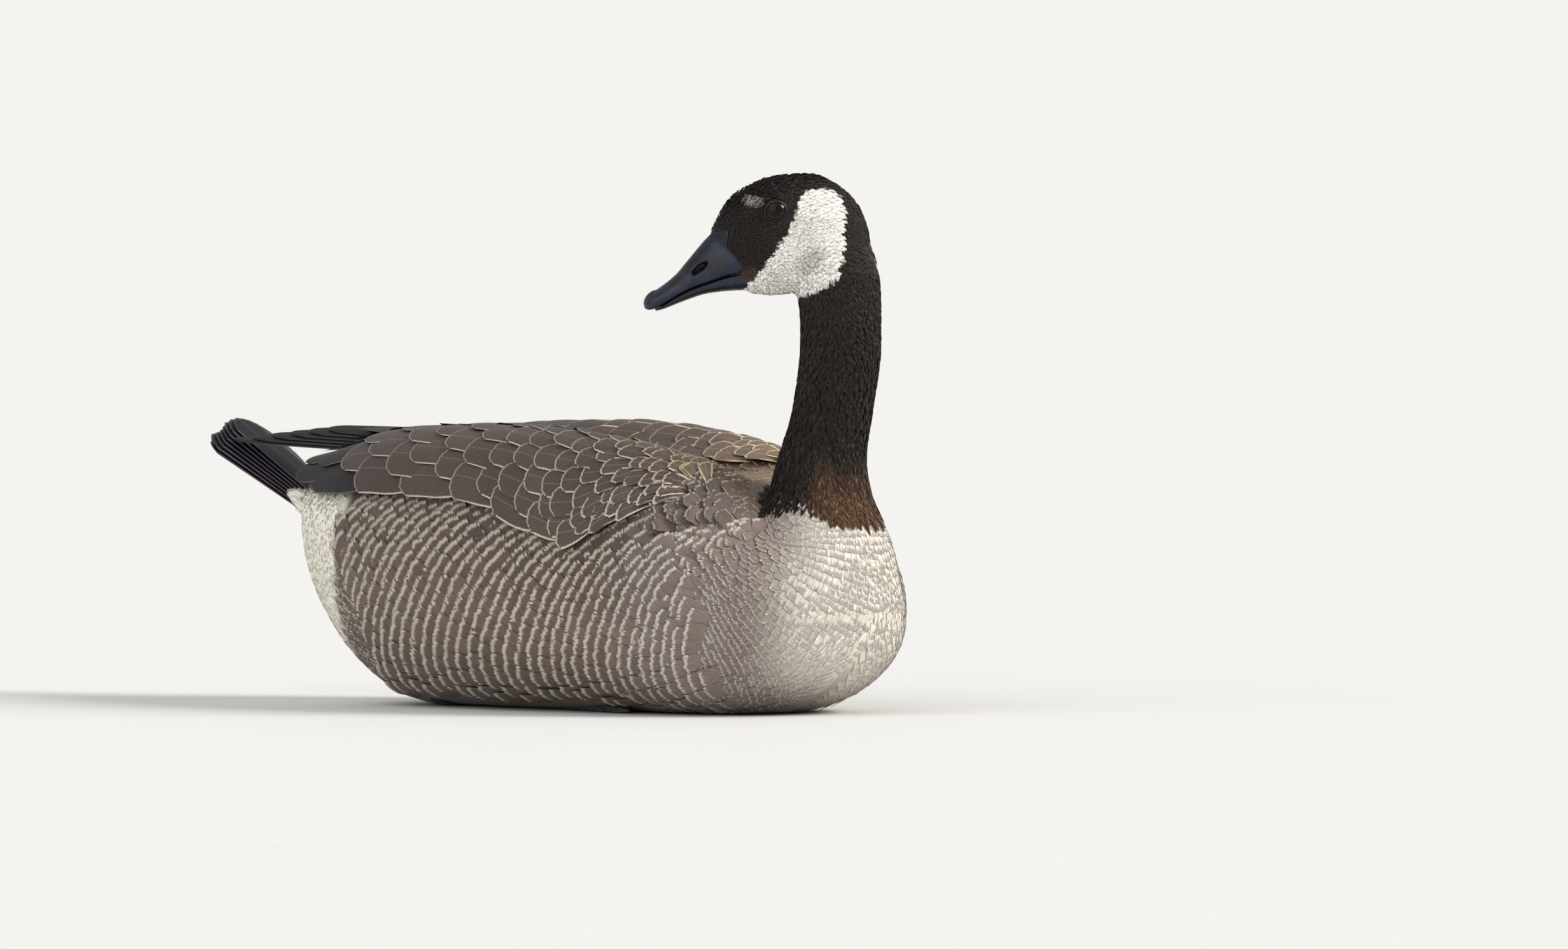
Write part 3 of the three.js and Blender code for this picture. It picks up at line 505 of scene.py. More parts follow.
def make_vanes(name, place, length, half, look, colours, root_uv, rng):
    """Closed vanes joined in one piece. Each is a grid of columns that run from its root to its tip. It is
    crowned across, its columns reach unevenly like barbs, and its under side meets its edges."""
    count = len(length)
    look = {**PLAIN_LOOK, **look}
    columns, rows = look["columns"], look["rows"]
    u = np.sin(np.linspace(-1, 1, columns + 1) * 1.3) / math.sin(1.3)
    v = 1 - (1 - np.linspace(0, 1, rows + 1)) ** look["crowding"]
    reach = 1 - look["round"] * np.abs(u) ** look["power"]
    ragged = rng.uniform(-1, 1, (count, columns + 1)) * look["ragged"] / length[:, None]
    reach = (reach + ragged)[:, None, :]
    narrow = (look["root"] + (1 - look["root"]) * smoothstep(0, 0.5, v))[None, :, None]
    narrow = narrow * (1 - look["taper"] * v[None, :, None] ** 2)
    size = (count, rows + 1, columns + 1)
    long, wide = length[:, None, None], half[:, None, None]
    bow = rng.uniform(-1, 1, count)[:, None, None] * look["bow"]
    splay = rng.uniform(-1, 1, (count, 1, columns + 1)) * look["splay"]
    v3, u3 = v[None, :, None], u[None, None, :]
    along = np.broadcast_to(long * v3 * reach, size)
    across = np.broadcast_to(wide * u3 * narrow + (bow * long + splay * wide) * v3**2, size)
    lift = (look["lift"] * rng.uniform(0.75, 1.25, count))[:, None, None]
    tilt = (look["tilt"] + rng.uniform(-1, 1, count) * look["tilt_spread"])[:, None, None]

    def rise(v, u):
        crown = look["crown"] * (1 - u**2) * np.sin(math.pi * np.clip(v * 0.85 + 0.1, 0, 1))
        return -look["sink"] * (1 - v) ** 2 + lift * v**1.15 + crown + tilt * u * wide

    frizz = rng.uniform(0, 1, size) * look["frizz"] * v3**4
    height = np.broadcast_to(rise(v3, u3) + frizz, size)
    share = look["under"]
    middle = columns // 2
    sunk = rise(v3 * share, 0 * u3[..., :1]) - look["thick"]
    beneath_height = np.broadcast_to(sunk, size[:2] + (1,))
    grids = [
        np.concatenate([along, along[..., middle : middle + 1] * share], 2),
        np.concatenate([across, across[..., middle : middle + 1]], 2),
        np.concatenate([height, beneath_height], 2),
    ]
    points = place(*grids)
    points[..., 2] = np.maximum(points[..., 2], LOWEST_VANE)
    faces, smooth = vane_faces(columns, rows)
    per_vane = (rows + 1) * (columns + 2)
    starts = np.arange(count) * per_vane
    all_faces = (faces[None] + starts[:, None, None]).reshape(-1, 3)
    piece = make_mesh(name, points.reshape(-1, 3), all_faces, np.tile(smooth, count))
    tags = rng.uniform(0, 1, count)
    full = (count, rows + 1, columns + 2)
    inner = np.full(size[:2] + (1,), FAR_FROM_RIM)
    side_gap = np.broadcast_to((1 - np.abs(u3)) * wide * narrow * look["side"], size)
    to_side = np.concatenate([side_gap, inner], 2)
    to_tip = np.concatenate([np.broadcast_to((1 - v3) * long * reach, size), inner], 2)
    fringe = np.broadcast_to(np.asarray(look["fringe"], float).reshape(-1, 1, 1), full)
    tag_grid = np.broadcast_to(tags[:, None, None], full)
    set_vectors(piece, "vane", np.stack([grids[1], grids[0], tag_grid], -1).reshape(-1, 3))
    set_vectors(piece, "rim", np.stack([to_side, to_tip, fringe], -1).reshape(-1, 3))
    for attribute, tone in zip(("shade", "pale"), colours):
        set_colours(piece, attribute, np.repeat(tone, per_vane, 0))
    patch = np.asarray(look["patch"], float)
    local = np.stack([grids[1] / (2 * wide), grids[0] / long - 0.5], -1).reshape(count, -1, 2)
    set_bake_places(piece, (root_uv[:, None] + local * patch).reshape(-1, 2))
    return piece


def ring_places(at, row, count, rng, slip, share_slip):
    """Places round one ring, as its own place along the body and shares of a turn. Every other ring is
    shifted by half a gap."""
    shift = (row % 2) / 2
    return [
        (at + rng.uniform(-slip, slip), (i + shift + rng.uniform(-share_slip, share_slip)) / count)
        for i in range(count)
    ]


def picked(use, *arrays):
    return [array[use] for array in arrays]


def tangent(direction, normals):
    return unit(direction - normals * np.sum(direction * normals, axis=1, keepdims=True))


def turned_flow(flows, normals, angles):
    """Turns each flow in its own tangent plane."""
    asides = np.cross(flows, normals)
    return flows * np.cos(angles)[:, None] + asides * np.sin(angles)[:, None]


def thinned(points, least):
    """Which points stay so that none lies nearer than least to one before it."""
    kept = np.zeros(len(points), bool)
    least = np.broadcast_to(least, len(points))
    for i, point in enumerate(points):
        gaps = np.linalg.norm(points[kept] - point, axis=1)
        kept[i] = not len(gaps) or gaps.min() > least[i]
    return kept


def mixed(low, high, share):
    share = np.asarray(share)[..., None]
    return low * (1 - share) + high * share


def varied(colours, rng, shade_by=0.12, fringe_by=0.12):
    """Body and fringe colours, with each feather's own a little lighter or darker."""
    return [
        tone * (1 + rng.uniform(-by, by, (len(tone), 1)))
        for tone, by in zip(colours, (shade_by, fringe_by))
    ]


TRUNK_UV = {"rear": -262.0, "length": 470.0, "axis": WATERLINE + 10}


def trunk_uv(points):
    along = (points[:, 0] - TRUNK_UV["rear"]) / TRUNK_UV["length"]
    around = (np.arctan2(points[:, 1], points[:, 2] - TRUNK_UV["axis"]) + math.pi) / (2 * math.pi)
    return np.stack([along, around], 1)


# Colours read from the photo. Each coat has its feathers' body colour and their fringe's, as an array of
# (2, 1, 3) that spreads over the feathers.
def coat(shade, fringe):
    return np.stack([srgb(*shade), srgb(*fringe)])[:, None]


def toned(colours, shade_by, fringe_by):
    return colours * np.array([shade_by, fringe_by])[:, None, None]


FLANK = coat((80, 68, 61), (204, 189, 172))
LOW_FLANK = coat((108, 94, 84), (212, 199, 184))
SIDE_BREAST = coat((124, 111, 104), (216, 206, 197))
BREAST = coat((216, 208, 196), (246, 242, 234))
VENT = coat((242, 236, 219), (245, 240, 225))
# The mantle's warm yellow fringe is partly the feathers' own buff and partly painted sunlight
SUNLIT_MANTLE = coat((120, 103, 89), (238, 208, 158))
RUMP = coat((44, 38, 36), (86, 76, 68))
WING = coat((84, 72, 66), (212, 196, 178))
# Reddish brown at the front of the neck's base: partly the feathers' own colour, partly painted sunlight on
# the side that faces the key light
NECK_RUST_AND_SUN = coat((76, 52, 38), (142, 106, 74))
# The black coat's brown tips are partly the feathers' own cast and partly painted glints of sun
HEAD_BLACK = coat((17, 14, 14), (52, 41, 35))
CHEEK = coat((242, 239, 231), (252, 250, 244))
# Painted shade for the white cheek, laid on soft spots of it
CHEEK_PAINTED_SHADE = toned(srgb(172, 166, 160), 1, 1.1)
BROW = toned(srgb(170, 160, 152), 0.8, 1.2)
GAPE_RUST = toned(srgb(112, 82, 60), 0.5, 1)
# The tail's pale purple tips and shaft lines are painted sheen
TAIL = coat((15, 15, 24), (88, 79, 86))
FLIGHT = coat((32, 28, 28), (104, 92, 82))
BLADE = toned(FLIGHT, 0.35, 0.55)

# The height of the border between black neck and white breast, by degrees from the breast's front
NECK_BORDER = profile([(0, 61), (25, 60.5), (47, 67), (76, 71), (110, 63), (137, 50), (180, 42)])
CHEEK_OUTLINE = np.array([
    (-19.4, 3.8), (-26.8, 2.2), (-34.3, -1.4), (-37, -7.8), (-36.7, -13.9), (-30.4, -29.3), (-24.1, -41),
    (-20.1, -46.5), (-13.6, -50), (-4.7, -50.5), (6, -51), (20, -50), (36, -42), (34.2, -33.8),
    (26.9, -31.1), (17.9, -26.7), (8.4, -20.7), (-1.5, -14), (-8.7, -7.1), (-14.2, -0.4),
])


def neck_side(points):
    """Degrees round the neck from the breast's front, and how far above the black border a point lies."""
    level = points[:, 2] - WATERLINE
    x, y = points[:, 0] - NECK_X(level), points[:, 1] - NECK_Y(level)
    degrees = np.degrees(np.abs(np.arctan2(y, x)))
    return degrees, level - NECK_BORDER(degrees)


def off_neck(points):
    """How far a point stands out from the bare neck."""
    level = points[:, 2] - WATERLINE
    out = np.hypot(points[:, 0] - NECK_X(level), points[:, 1] - NECK_Y(level))
    return out - NECK_RADIUS(level)


def inside_outline(x, z, outline):
    """How far a point lies inside a closed outline. It is negative outside."""
    nearest = np.full(len(x), np.inf)
    inside = np.zeros(len(x), bool)
    for (x0, z0), (x1, z1) in zip(outline, np.roll(outline, -1, 0)):
        dx, dz = x1 - x0, z1 - z0
        t = np.clip(((x - x0) * dx + (z - z0) * dz) / (dx * dx + dz * dz), 0, 1)
        nearest = np.minimum(nearest, np.hypot(x - x0 - t * dx, z - z0 - t * dz))
        crosses = (z0 > z) != (z1 > z)
        inside ^= crosses & (x < x0 + (z - z0) / (dz if dz else 1e-9) * dx)
    return np.where(inside, nearest, -nearest)


def spot(x, z, at, size, tilt=0.0):
    """1 in the middle of an oval spot, falling to 0 outside it."""
    dx, dz = x - at[0], z - at[1]
    along = dx * math.cos(tilt) + dz * math.sin(tilt)
    aside = dz * math.cos(tilt) - dx * math.sin(tilt)
    return 1 - smoothstep(0.55, 1.15, np.hypot(along / size[0], aside / size[1]))


def head_colours(points, jitter):
    """Body and tip colours of the plumage of the head and upper neck."""
    local = to_head(points)
    x, z = local[:, 0] + jitter * 0.6, local[:, 2] + jitter * 0.5
    white = smoothstep(-0.5, 0.5, inside_outline(x, z, CHEEK_OUTLINE))
    # Painted shade: three soft darker spots on the white cheek
    painted_cheek_shade = 0.5 * spot(x, z, (-8, -33), (7, 11), 1.2) + 0.25 * spot(x, z, (-11, -15), (9, 9))
    painted_cheek_shade = painted_cheek_shade + 0.15 * spot(x, z, (12, -36), (9, 6))
    near_eye = local[:, 1] > 0
    brow = spot(x, z, (9.5, 9.5), (6.2, 3.4), 0.5) * (0.75 + 0.25 * np.sin(7 * x)) * near_eye
    brown_patch = 0.5 * spot(x, z, (26.4, -27.5), (5.5, 5))
    colours = mixed(mixed(HEAD_BLACK, BROW, brow), GAPE_RUST, brown_patch)
    return mixed(colours, mixed(CHEEK, CHEEK_PAINTED_SHADE, painted_cheek_shade), white)


def neck_colours(points, jitter):
    degrees, above = neck_side(points)
    # A reddish brown patch at the front of the neck's base: partly own colour, partly painted sunlight
    brown_patch = 1 - smoothstep(2, 34, above + 3 * jitter)
    brown_patch = brown_patch * (1 - smoothstep(35, 75, degrees + 8 * jitter))
    return mixed(head_colours(points, jitter), NECK_RUST_AND_SUN, np.stack([0.85 * brown_patch, brown_patch]))


def trunk_colours(points):
    """Body and fringe colours of the trunk's feathers, by where they are rooted."""
    x, level = points[:, 0], points[:, 2] - WATERLINE
    colours = mixed(FLANK, LOW_FLANK, 1 - smoothstep(-10, 45, level + 0.12 * x))
    colours = mixed(colours, SIDE_BREAST, smoothstep(70, 135, x))
    front = smoothstep(148, 188, x - 0.15 * np.abs(points[:, 1]) + 0.1 * np.abs(level))
    rear = 1 - smoothstep(-152, -142, x)
    colours = mixed(mixed(colours, BREAST, front), VENT, rear)
    return mixed(colours, RUMP, rear * smoothstep(62, 72, level))


def body_piece(name, roots, normals, flows, length, half, look, colours, root_uv, rng):
    place = conform(roots, normals, flows, length, half)
    return make_vanes(name, place, length, half, look, colours, root_uv, rng)


# The flank: rows of feathers along bars that run from the wing's edge down and back to the belly
def flank_angle(x, level):
    """How steeply the flank's feathers point up and back: more and more towards the wing's edge."""
    edge = np.where(x < WING_FRONT, WING_OUTER(x), 60)
    t = np.clip((level - 4) / (edge - 4), 0, 1)
    low = np.interp(x, [-170, 40, 110, 150, 165], [26, 28, 22, 10, -2])
    high = np.interp(x, [-170, 90, 135, 160], [82, 78, 66, 30])
    return np.radians(low + (high - low) * t**0.85)


ROW_STEP = 1.5
ROW_GAP = 4.6
FLANK_ROWS = {"first": -178, "last": 152, "along": 7.5}
FLANK_FRONT = 144
SHOULDER_LEVEL = 54

# Where the rows of the breast fan out, and how far off it the flank's rows stop
CREASE = (150.0, 54.0, WATERLINE + 52)
CREASE_REACH = 36


def flank_end(level):
    """Where the flank's grey feathers end, against the white vent."""
    return -127 - 0.58 * np.maximum(level, 0)


def flank_rows(first, last, along, rng):
    """Root places in side view. Each bar is followed up and forward from the belly, until it meets the wing
    or comes near a bar behind it."""
    places, lines = [], np.full((1, 2), 999.0)
    start = first
    while start < last:
        level, gone, line = 5.0 - WATERLINE, rng.uniform(0, along), []
        px = start
        start += float(np.interp(start, [-150, 60, 140], [9.6, 8.4, 6.0]))
        while level < (WING_OUTER(px) + 3 if px < WING_FRONT else SHOULDER_LEVEL) and px < FLANK_FRONT:
            angle = float(flank_angle(px, level))
            px += math.sin(angle) * ROW_STEP
            level += math.cos(angle) * ROW_STEP
            off_crease = math.hypot(px - CREASE[0], level - CREASE[2] + WATERLINE)
            if off_crease < CREASE_REACH or np.hypot(*(lines - (px, level)).T).min() < ROW_GAP:
                break
            line.append((px, level))
            gone += ROW_STEP
            if gone > along:
                gone -= along
                places.append((px, level))
        if line:
            lines = np.concatenate([lines, line])
    return np.array(places)


def make_flank(side_name, rng):
    sign = SIDES[side_name]["sign"]
    x, level = flank_rows(**FLANK_ROWS, rng=rng).T
    roots, normals = cast(vectors(x, 0, level + WATERLINE), vectors(0 * x, sign, 0))
    found = np.isfinite(roots[:, 0])
    roots, normals, x, level = picked(found, roots, normals, x, level)
    angle = flank_angle(x, level) + rng.uniform(-0.03, 0.03, len(x))
    flows = tangent(vectors(-np.cos(angle), 0, np.sin(angle)), normals)
    rear = 1 - smoothstep(-90, 60, x)
    high = smoothstep(10, 60, level)
    length = 20 + 7 * rear + 4 * high * rear + 2 * (1 - smoothstep(60, 140, x))
    length = length + rng.uniform(-0.5, 0.5, len(x))
    half = (6.6 + 2.2 * rear) * rng.uniform(0.92, 1.08, len(x))
    reach = x - length * np.cos(angle)
    use = reach > flank_end(level + length * np.sin(angle))
    roots, normals, flows, x, length, half = picked(use, roots, normals, flows, x, length, half)
    look = {
        "columns": 18, "rows": 5, "round": 0.07, "power": 2.6, "ragged": 0.75, "root": 0.6, "lift": 2.2,
        "crown": 0.3, "sink": 1.2, "tilt": 0.055, "tilt_spread": 0.01, "bow": 0.02, "splay": 0.03,
        "frizz": 0.1, "crowding": 1.35, "side": 40.0, "patch": (0.012, 0.012),
        "fringe": np.interp(x, [-120, 60, 140], [2.9, 2.6, 1.9]),
    }
    colours = varied(trunk_colours(roots), rng, fringe_by=0.07)
    name = f"flank_{side_name}"
    return body_piece(name, roots, normals, flows, length, half, look, colours, trunk_uv(roots), rng)


# The breast: rows fan out from the crease at the shoulder, forward round the breast and down to the belly
BREAST_GAP = 2.6
BREAST_ROWS = {"from": -72, "to": 192, "reach": 215, "back_from": 114, "back_reach": 44, "step": 5.0}
BREAST_ROW_LEVELS = [(12.0, 0.0, 1.0), (12.0, 6.0, 12.0), (6.0, 3.0, 40.0), (3.0, 1.5, 92.0)]


def breast_axis(level):
    return 150 - 34 * (1 - smoothstep(12, 58, level))


def breast_places(rng):
    """Developed places: the row's angle below straight forward, and the distance from the crease."""
    places = []
    for step, shift, start in BREAST_ROW_LEVELS:
        for degrees in np.arange(BREAST_ROWS["from"] + shift, BREAST_ROWS["to"], step):
            far = BREAST_ROWS["reach" if degrees < BREAST_ROWS["back_from"] else "back_reach"]
            reach = np.arange(start + rng.uniform(0, 4), far, BREAST_ROWS["step"])
            places += [(degrees, r + rng.uniform(-0.8, 0.8)) for r in reach]
    return np.radians(np.array(places)[:, 0]), np.array(places)[:, 1]


def make_breast(side_name, rng):
    sign = SIDES[side_name]["sign"]
    row, reach = breast_places(rng)
    level = CREASE[2] - WATERLINE - reach * np.sin(row)
    around = np.interp(level, [-50, 10, 55, 72], [86, 84, 62, 40])
    turn = math.pi / 2 - reach * np.cos(row) / around
    use = (turn > -0.03) & (level > 3 - WATERLINE) & (level < 80)
    row, reach, level, turn = picked(use, row, reach, level, turn)
    axis = vectors(breast_axis(level), 0, level + WATERLINE)
    roots, normals = cast(axis, vectors(np.cos(turn), sign * np.sin(turn), 0))
    found = np.isfinite(roots[:, 0])
    above = neck_side(np.nan_to_num(roots))[1]
    found &= (above < 3) | (off_neck(np.nan_to_num(roots)) > 6)
    roots, normals, row, reach, turn = picked(found, roots, normals, row, reach, turn)
    roots, normals, row, reach, turn = picked(thinned(roots, BREAST_GAP), roots, normals, row, reach, turn)
    forward = vectors(np.sin(turn), -sign * np.cos(turn), 0)
    flow = -np.sin(np.abs(row))[:, None] * forward + vectors(0, 0, -np.cos(row))
    flows = turned_flow(tangent(flow, normals), normals, rng.uniform(-0.05, 0.05, len(row)))
    far = smoothstep(20, 120, reach)
    side_share = smoothstep(35, 100, np.degrees(row))
    length = 9 + 7 * far + rng.uniform(-0.4, 0.4, len(row))
    half = (3.2 + 2.4 * far) * rng.uniform(0.9, 1.1, len(row))
    look = {
        "columns": 12, "rows": 3, "round": 0.1, "power": 2.4, "ragged": 0.4, "root": 0.6,
        "lift": 0.6 - 0.3 * far + 0.8 * side_share, "crown": 0.05, "sink": 0.5, "tilt": 0.05,
        "tilt_spread": 0.01, "bow": 0.04, "splay": 0.05, "frizz": 0.05, "side": 30.0, "thick": 0.08,
        "fringe": 1.2 + 0.7 * side_share, "patch": (0.004, 0.004),
    }
    colours = trunk_colours(roots)
    colours[0] = mixed(colours[0], SIDE_BREAST[0], 0.55 * side_share)
    colours = varied(colours, rng, 0.06, 0.03)
    name = f"breast_{side_name}"
    return body_piece(name, roots, normals, flows, length, half, look, colours, trunk_uv(roots), rng)


# The mantle and back, between the wings, back to the rump
MANTLE_GAP = 6.4
MANTLE_ENDS = (147.0, -196.0)
MANTLE_HIGHEST = 115


def mantle_places(rng):
    places, x, row = [], MANTLE_ENDS[0], 0
    while x > MANTLE_ENDS[1]:
        reach = float(WING_INNER(x)) + 15 + 22 * float(smoothstep(98, 116, x))
        shift = (row % 2) * MANTLE_GAP / 2
        for y in np.arange(-reach + shift, reach, MANTLE_GAP):
            places.append((x + rng.uniform(-0.5, 0.5), y + rng.uniform(-0.5, 0.5)))
        x -= 4.0 + 4.0 * float(1 - smoothstep(-30, 95, x))
        row += 1
    return np.array(places).T


def make_mantle(rng):
    x, y = mantle_places(rng)
    roots, normals = cast(vectors(x, y, WATERLINE + 22), vectors(0 * x, 0, 1))
    use = np.isfinite(roots[:, 0]) & (off_neck(np.nan_to_num(roots)) > 1)
    level = roots[:, 2] - WATERLINE
    use &= (level < MANTLE_HIGHEST) & ((roots[:, 0] < 98) | (level > SHOULDER_LEVEL - 1))
    roots, normals = roots[use], normals[use]
    flow = np.tile([-1.0, 0.0, 0.0], (len(roots), 1)) + rng.uniform(-0.08, 0.08, (len(roots), 3))
    flow[:, 2] -= 0.5 * smoothstep(40, 85, np.abs(roots[:, 1]))
    flows = tangent(flow, normals)
    rear = 1 - smoothstep(-60, 110, roots[:, 0])
    length = (14 + 15 * rear) * rng.uniform(0.93, 1.07, len(roots))
    half = (4.8 + 3.6 * rear) * rng.uniform(0.93, 1.07, len(roots))
    at_wing = smoothstep(100, 108, roots[:, 0]) * (1 - smoothstep(122, 134, roots[:, 0]))
    at_wing = at_wing * smoothstep(18, 34, np.abs(roots[:, 1]))
    from_edge = np.abs(roots[:, 1]) - WING_INNER(roots[:, 0])
    at_edge = smoothstep(-11, -3, from_edge) * smoothstep(10, 60, roots[:, 0]) * (1 - at_wing)
    look = {
        "columns": 12, "rows": 4, "round": 0.22, "power": 2.4, "ragged": 0.6,
        "lift": 1.6 + 0.8 * rear + 4.0 * at_wing + 2.4 * at_edge, "crown": 0.4, "sink": 1.0,
        "tilt": 0.04, "tilt_spread": 0.02, "bow": 0.06, "splay": 0.05, "frizz": 0.1, "side": 3.0,
        "fringe": 1.1 + 0.4 * rear, "patch": (0.008, 0.008),
    }
    dark = 1 - smoothstep(-170, -60, roots[:, 0])
    low_coat = np.stack([mixed(FLANK[0], SIDE_BREAST[0], 0.4), SIDE_BREAST[1] * 0.9])
    low = smoothstep(24, 50, np.abs(roots[:, 1]))
    # The mantle's warm yellow fringe is partly painted sunlight
    colours = varied(mixed(mixed(SUNLIT_MANTLE, RUMP, dark), low_coat, low), rng, fringe_by=0.1)
    return body_piece("mantle", roots, normals, flows, length, half, look, colours, trunk_uv(roots), rng)


# The vent and rump, back to the tail
VENT_RINGS = (-108, -239, -3.6)
VENT_GAP = 5.2


def make_vent(rng):
    places = []
    for row, x in enumerate(np.arange(*VENT_RINGS)):
        size = 60 * float(end_rounding(x, RUMP_X, RUMP_RADIUS, BREAST_X, BREAST_RADIUS))
        count = max(8, int(2 * math.pi * size / VENT_GAP))
        places += ring_places(x, row, count, rng, 1, 0.1)
    x, share = np.array(places).T
    turn = share * 2 * math.pi
    origins = vectors(x, 0, WATERLINE + TRUNK_MIDDLE(x))
    roots, normals = cast(origins, vectors(0, np.sin(turn), np.cos(turn)))
    found = np.isfinite(roots[:, 0]) & (roots[:, 2] > 2.0)
    roots, normals = roots[found], normals[found]
    level = roots[:, 2] - WATERLINE
    use = (roots[:, 0] < flank_end(level) + 16) & ((roots[:, 0] < -140) | (level < 40))
    roots, normals, level = picked(use, roots, normals, level)
    rise = 0.25 + 0.55 * (1 - smoothstep(-30, 60, level))
    flows = tangent(vectors(-1, 0, rise), normals)
    flows = turned_flow(flows, normals, rng.uniform(-0.15, 0.15, len(roots)))
    length = 14 * rng.uniform(0.85, 1.15, len(roots))
    half = 3.6 * rng.uniform(0.85, 1.15, len(roots))
    look = {
        "columns": 8, "rows": 3, "round": 0.35, "power": 1.8, "ragged": 0.7, "lift": 0.45,
        "crown": 0.06, "sink": 0.5, "tilt": 0.025, "tilt_spread": 0.005, "bow": 0.1, "splay": 0.1,
        "frizz": 0.03, "fringe": 1.6, "thick": 0.05,
    }
    colours = varied(trunk_colours(roots), rng, 0.05, 0.04)
    return body_piece("vent", roots, normals, flows, length, half, look, colours, trunk_uv(roots), rng)


# The neck
NECK_RINGS = (44, 197, 2.0)
NECK_GAP = 2.4


def make_neck(rng):
    places = []
    for row, level in enumerate(np.arange(*NECK_RINGS)):
        count = int(2 * math.pi * float(NECK_RADIUS(level)) / NECK_GAP)
        places += ring_places(level, row, count, rng, 0.7, 0.2)
    level, share = np.array(places).T
    turn = share * 2 * math.pi
    origins = vectors(NECK_X(level), NECK_Y(level), level + WATERLINE)
    roots, normals = cast(origins, vectors(np.cos(turn), np.sin(turn), 0))
    found = np.isfinite(roots[:, 0])
    degrees, above = neck_side(np.nan_to_num(roots))
    found &= (above > -1.5) & (np.linalg.norm(roots - origins, axis=1) < 60)
    roots, normals, degrees, above = picked(found, roots, normals, degrees, above)
    back = 0.55 * smoothstep(120, 170, degrees) * (1 - smoothstep(4, 40, above))
    flows = tangent(vectors(-back, 0, -1), normals)
    flows = turned_flow(flows, normals, rng.uniform(-0.28, 0.28, len(roots)))
    base = 1 - smoothstep(10, 60, above)
    top = smoothstep(150, 188, roots[:, 2] - WATERLINE)
    length = (6.5 + 3.5 * base - 1.6 * top) * rng.uniform(0.8, 1.2, len(roots))
    half = (1.15 + 0.6 * base) * rng.uniform(0.85, 1.15, len(roots))
    look = {
        "columns": 4, "rows": 2, "round": 0.45, "power": 1.6, "ragged": 0.7,
        "lift": 1.0 - 0.35 * top, "crown": 0.15, "sink": 0.6, "tilt_spread": 0.12, "bow": 0.12,
        "fringe": 0.9, "thick": 0.2,
    }
    shown = roots + flows * (0.6 * length)[:, None]
    colours = varied(neck_colours(shown, rng.uniform(-1, 1, len(roots))), rng, 0.25, 0.3)
    uv = np.stack([(roots[:, 2] - 80) / 180, np.arctan2(roots[:, 1], roots[:, 0] - 155) / 6.4 + 0.5], 1)
    return body_piece("neck_coat", roots, normals, flows, length, half, look, colours, uv, rng)


# The head: feathers are smallest on the face and stop at the bill's edge and round the eyes
BILL_EDGE = profile([
    (-50, 27), (-36, 31), (-30, 31.5), (-24, 32), (-19, 34), (-13, 35), (-7, 32), (0, 28.5), (2.5, 40),
])
EYE_BARE = 7.2
HEAD_LOWEST = 176


def head_places(rng):
    places = []
    x, row = -45.0, 0
    while x < 42:
        face = float(smoothstep(-5, 25, x))
        step = 1.85 - 0.55 * face
        size = (float(SKULL_TOP(x)) - float(SKULL_BOTTOM(x))) / 2
        round_size = size * 0.9 * float(end_rounding(x, -50, 20, 50, 8))
        count = max(8, int(2 * math.pi * round_size / (2.25 - 0.6 * face)))
        places += ring_places(x, row, count, rng, 0.5, 0.2)
        x, row = x + step, row + 1
    return np.array(places).T


def make_head(rng):
    x, share = head_places(rng)
    turn = share * 2 * math.pi
    middle = (SKULL_TOP(x) + SKULL_BOTTOM(x)) / 2
    middle = middle + (-16 - middle) * smoothstep(28, 40, x)
    outward = vectors(0, np.sin(turn), np.cos(turn)) @ HEAD_ROTATION.T
    roots, normals = cast(from_head(vectors(x, 0, middle)), outward)
    found = np.isfinite(roots[:, 0])
    local = to_head(np.nan_to_num(roots))
    level = np.nan_to_num(roots[:, 2]) - WATERLINE
    eye_gap = np.hypot(local[:, 0] / 1.08, local[:, 2] / 0.92)
    found &= (level > HEAD_LOWEST) & (local[:, 0] < BILL_EDGE(local[:, 2])) & (eye_gap > EYE_BARE)
    roots, normals, local, eye_gap = picked(found, roots, normals, local, eye_gap)
    flow = np.tile([-1.0, 0.0, -0.28], (len(roots), 1))
    flow[:, 2] -= 0.5 * (1 - smoothstep(-40, -10, local[:, 0]))
    flow[:, 2] -= 0.25 * (1 - smoothstep(-30, 0, local[:, 2]))
    around = vectors(-local[:, 2], 0, local[:, 0]) * -np.sign(local[:, 2:3])
    near = (1 - smoothstep(7, 15, eye_gap))[:, None]
    flow = unit(flow) * (1 - 0.6 * near) + unit(around) * np.array([1.0, 0.0, 1.0]) * 0.6 * near
    flows = tangent(flow @ HEAD_ROTATION.T, normals)
    flows = turned_flow(flows, normals, rng.uniform(-0.22, 0.22, len(roots)))
    face = smoothstep(-8, 26, local[:, 0])
    length = (5.0 - 2.2 * face) * rng.uniform(0.8, 1.2, len(roots))
    length = np.minimum(length, 1.2 + 0.45 * np.maximum(eye_gap - EYE_BARE, 0) + 1.4)
    half = (1.15 - 0.42 * face) * rng.uniform(0.85, 1.15, len(roots))
    look = {
        "columns": 4, "rows": 2, "round": 0.45, "power": 1.6, "ragged": 0.4, "root": 0.55,
        "lift": 0.6 + 0.9 * smoothstep(4, 15, local[:, 2]),
        "crown": 0.15, "sink": 0.4, "tilt_spread": 0.1, "bow": 0.1, "fringe": 0.7,
        "thick": 0.15,
    }
    shown = roots + flows * (0.7 * length)[:, None]
    colours = varied(head_colours(shown, rng.uniform(-1, 1, len(roots))), rng, 0.14, 0.16)
    uv = np.stack([(local[:, 0] + 55) / 110, np.arctan2(local[:, 1], local[:, 2] + 18) / 6.4 + 0.5], 1)
    return body_piece("head_coat", roots, normals, flows, length, half, look, colours, uv, rng)


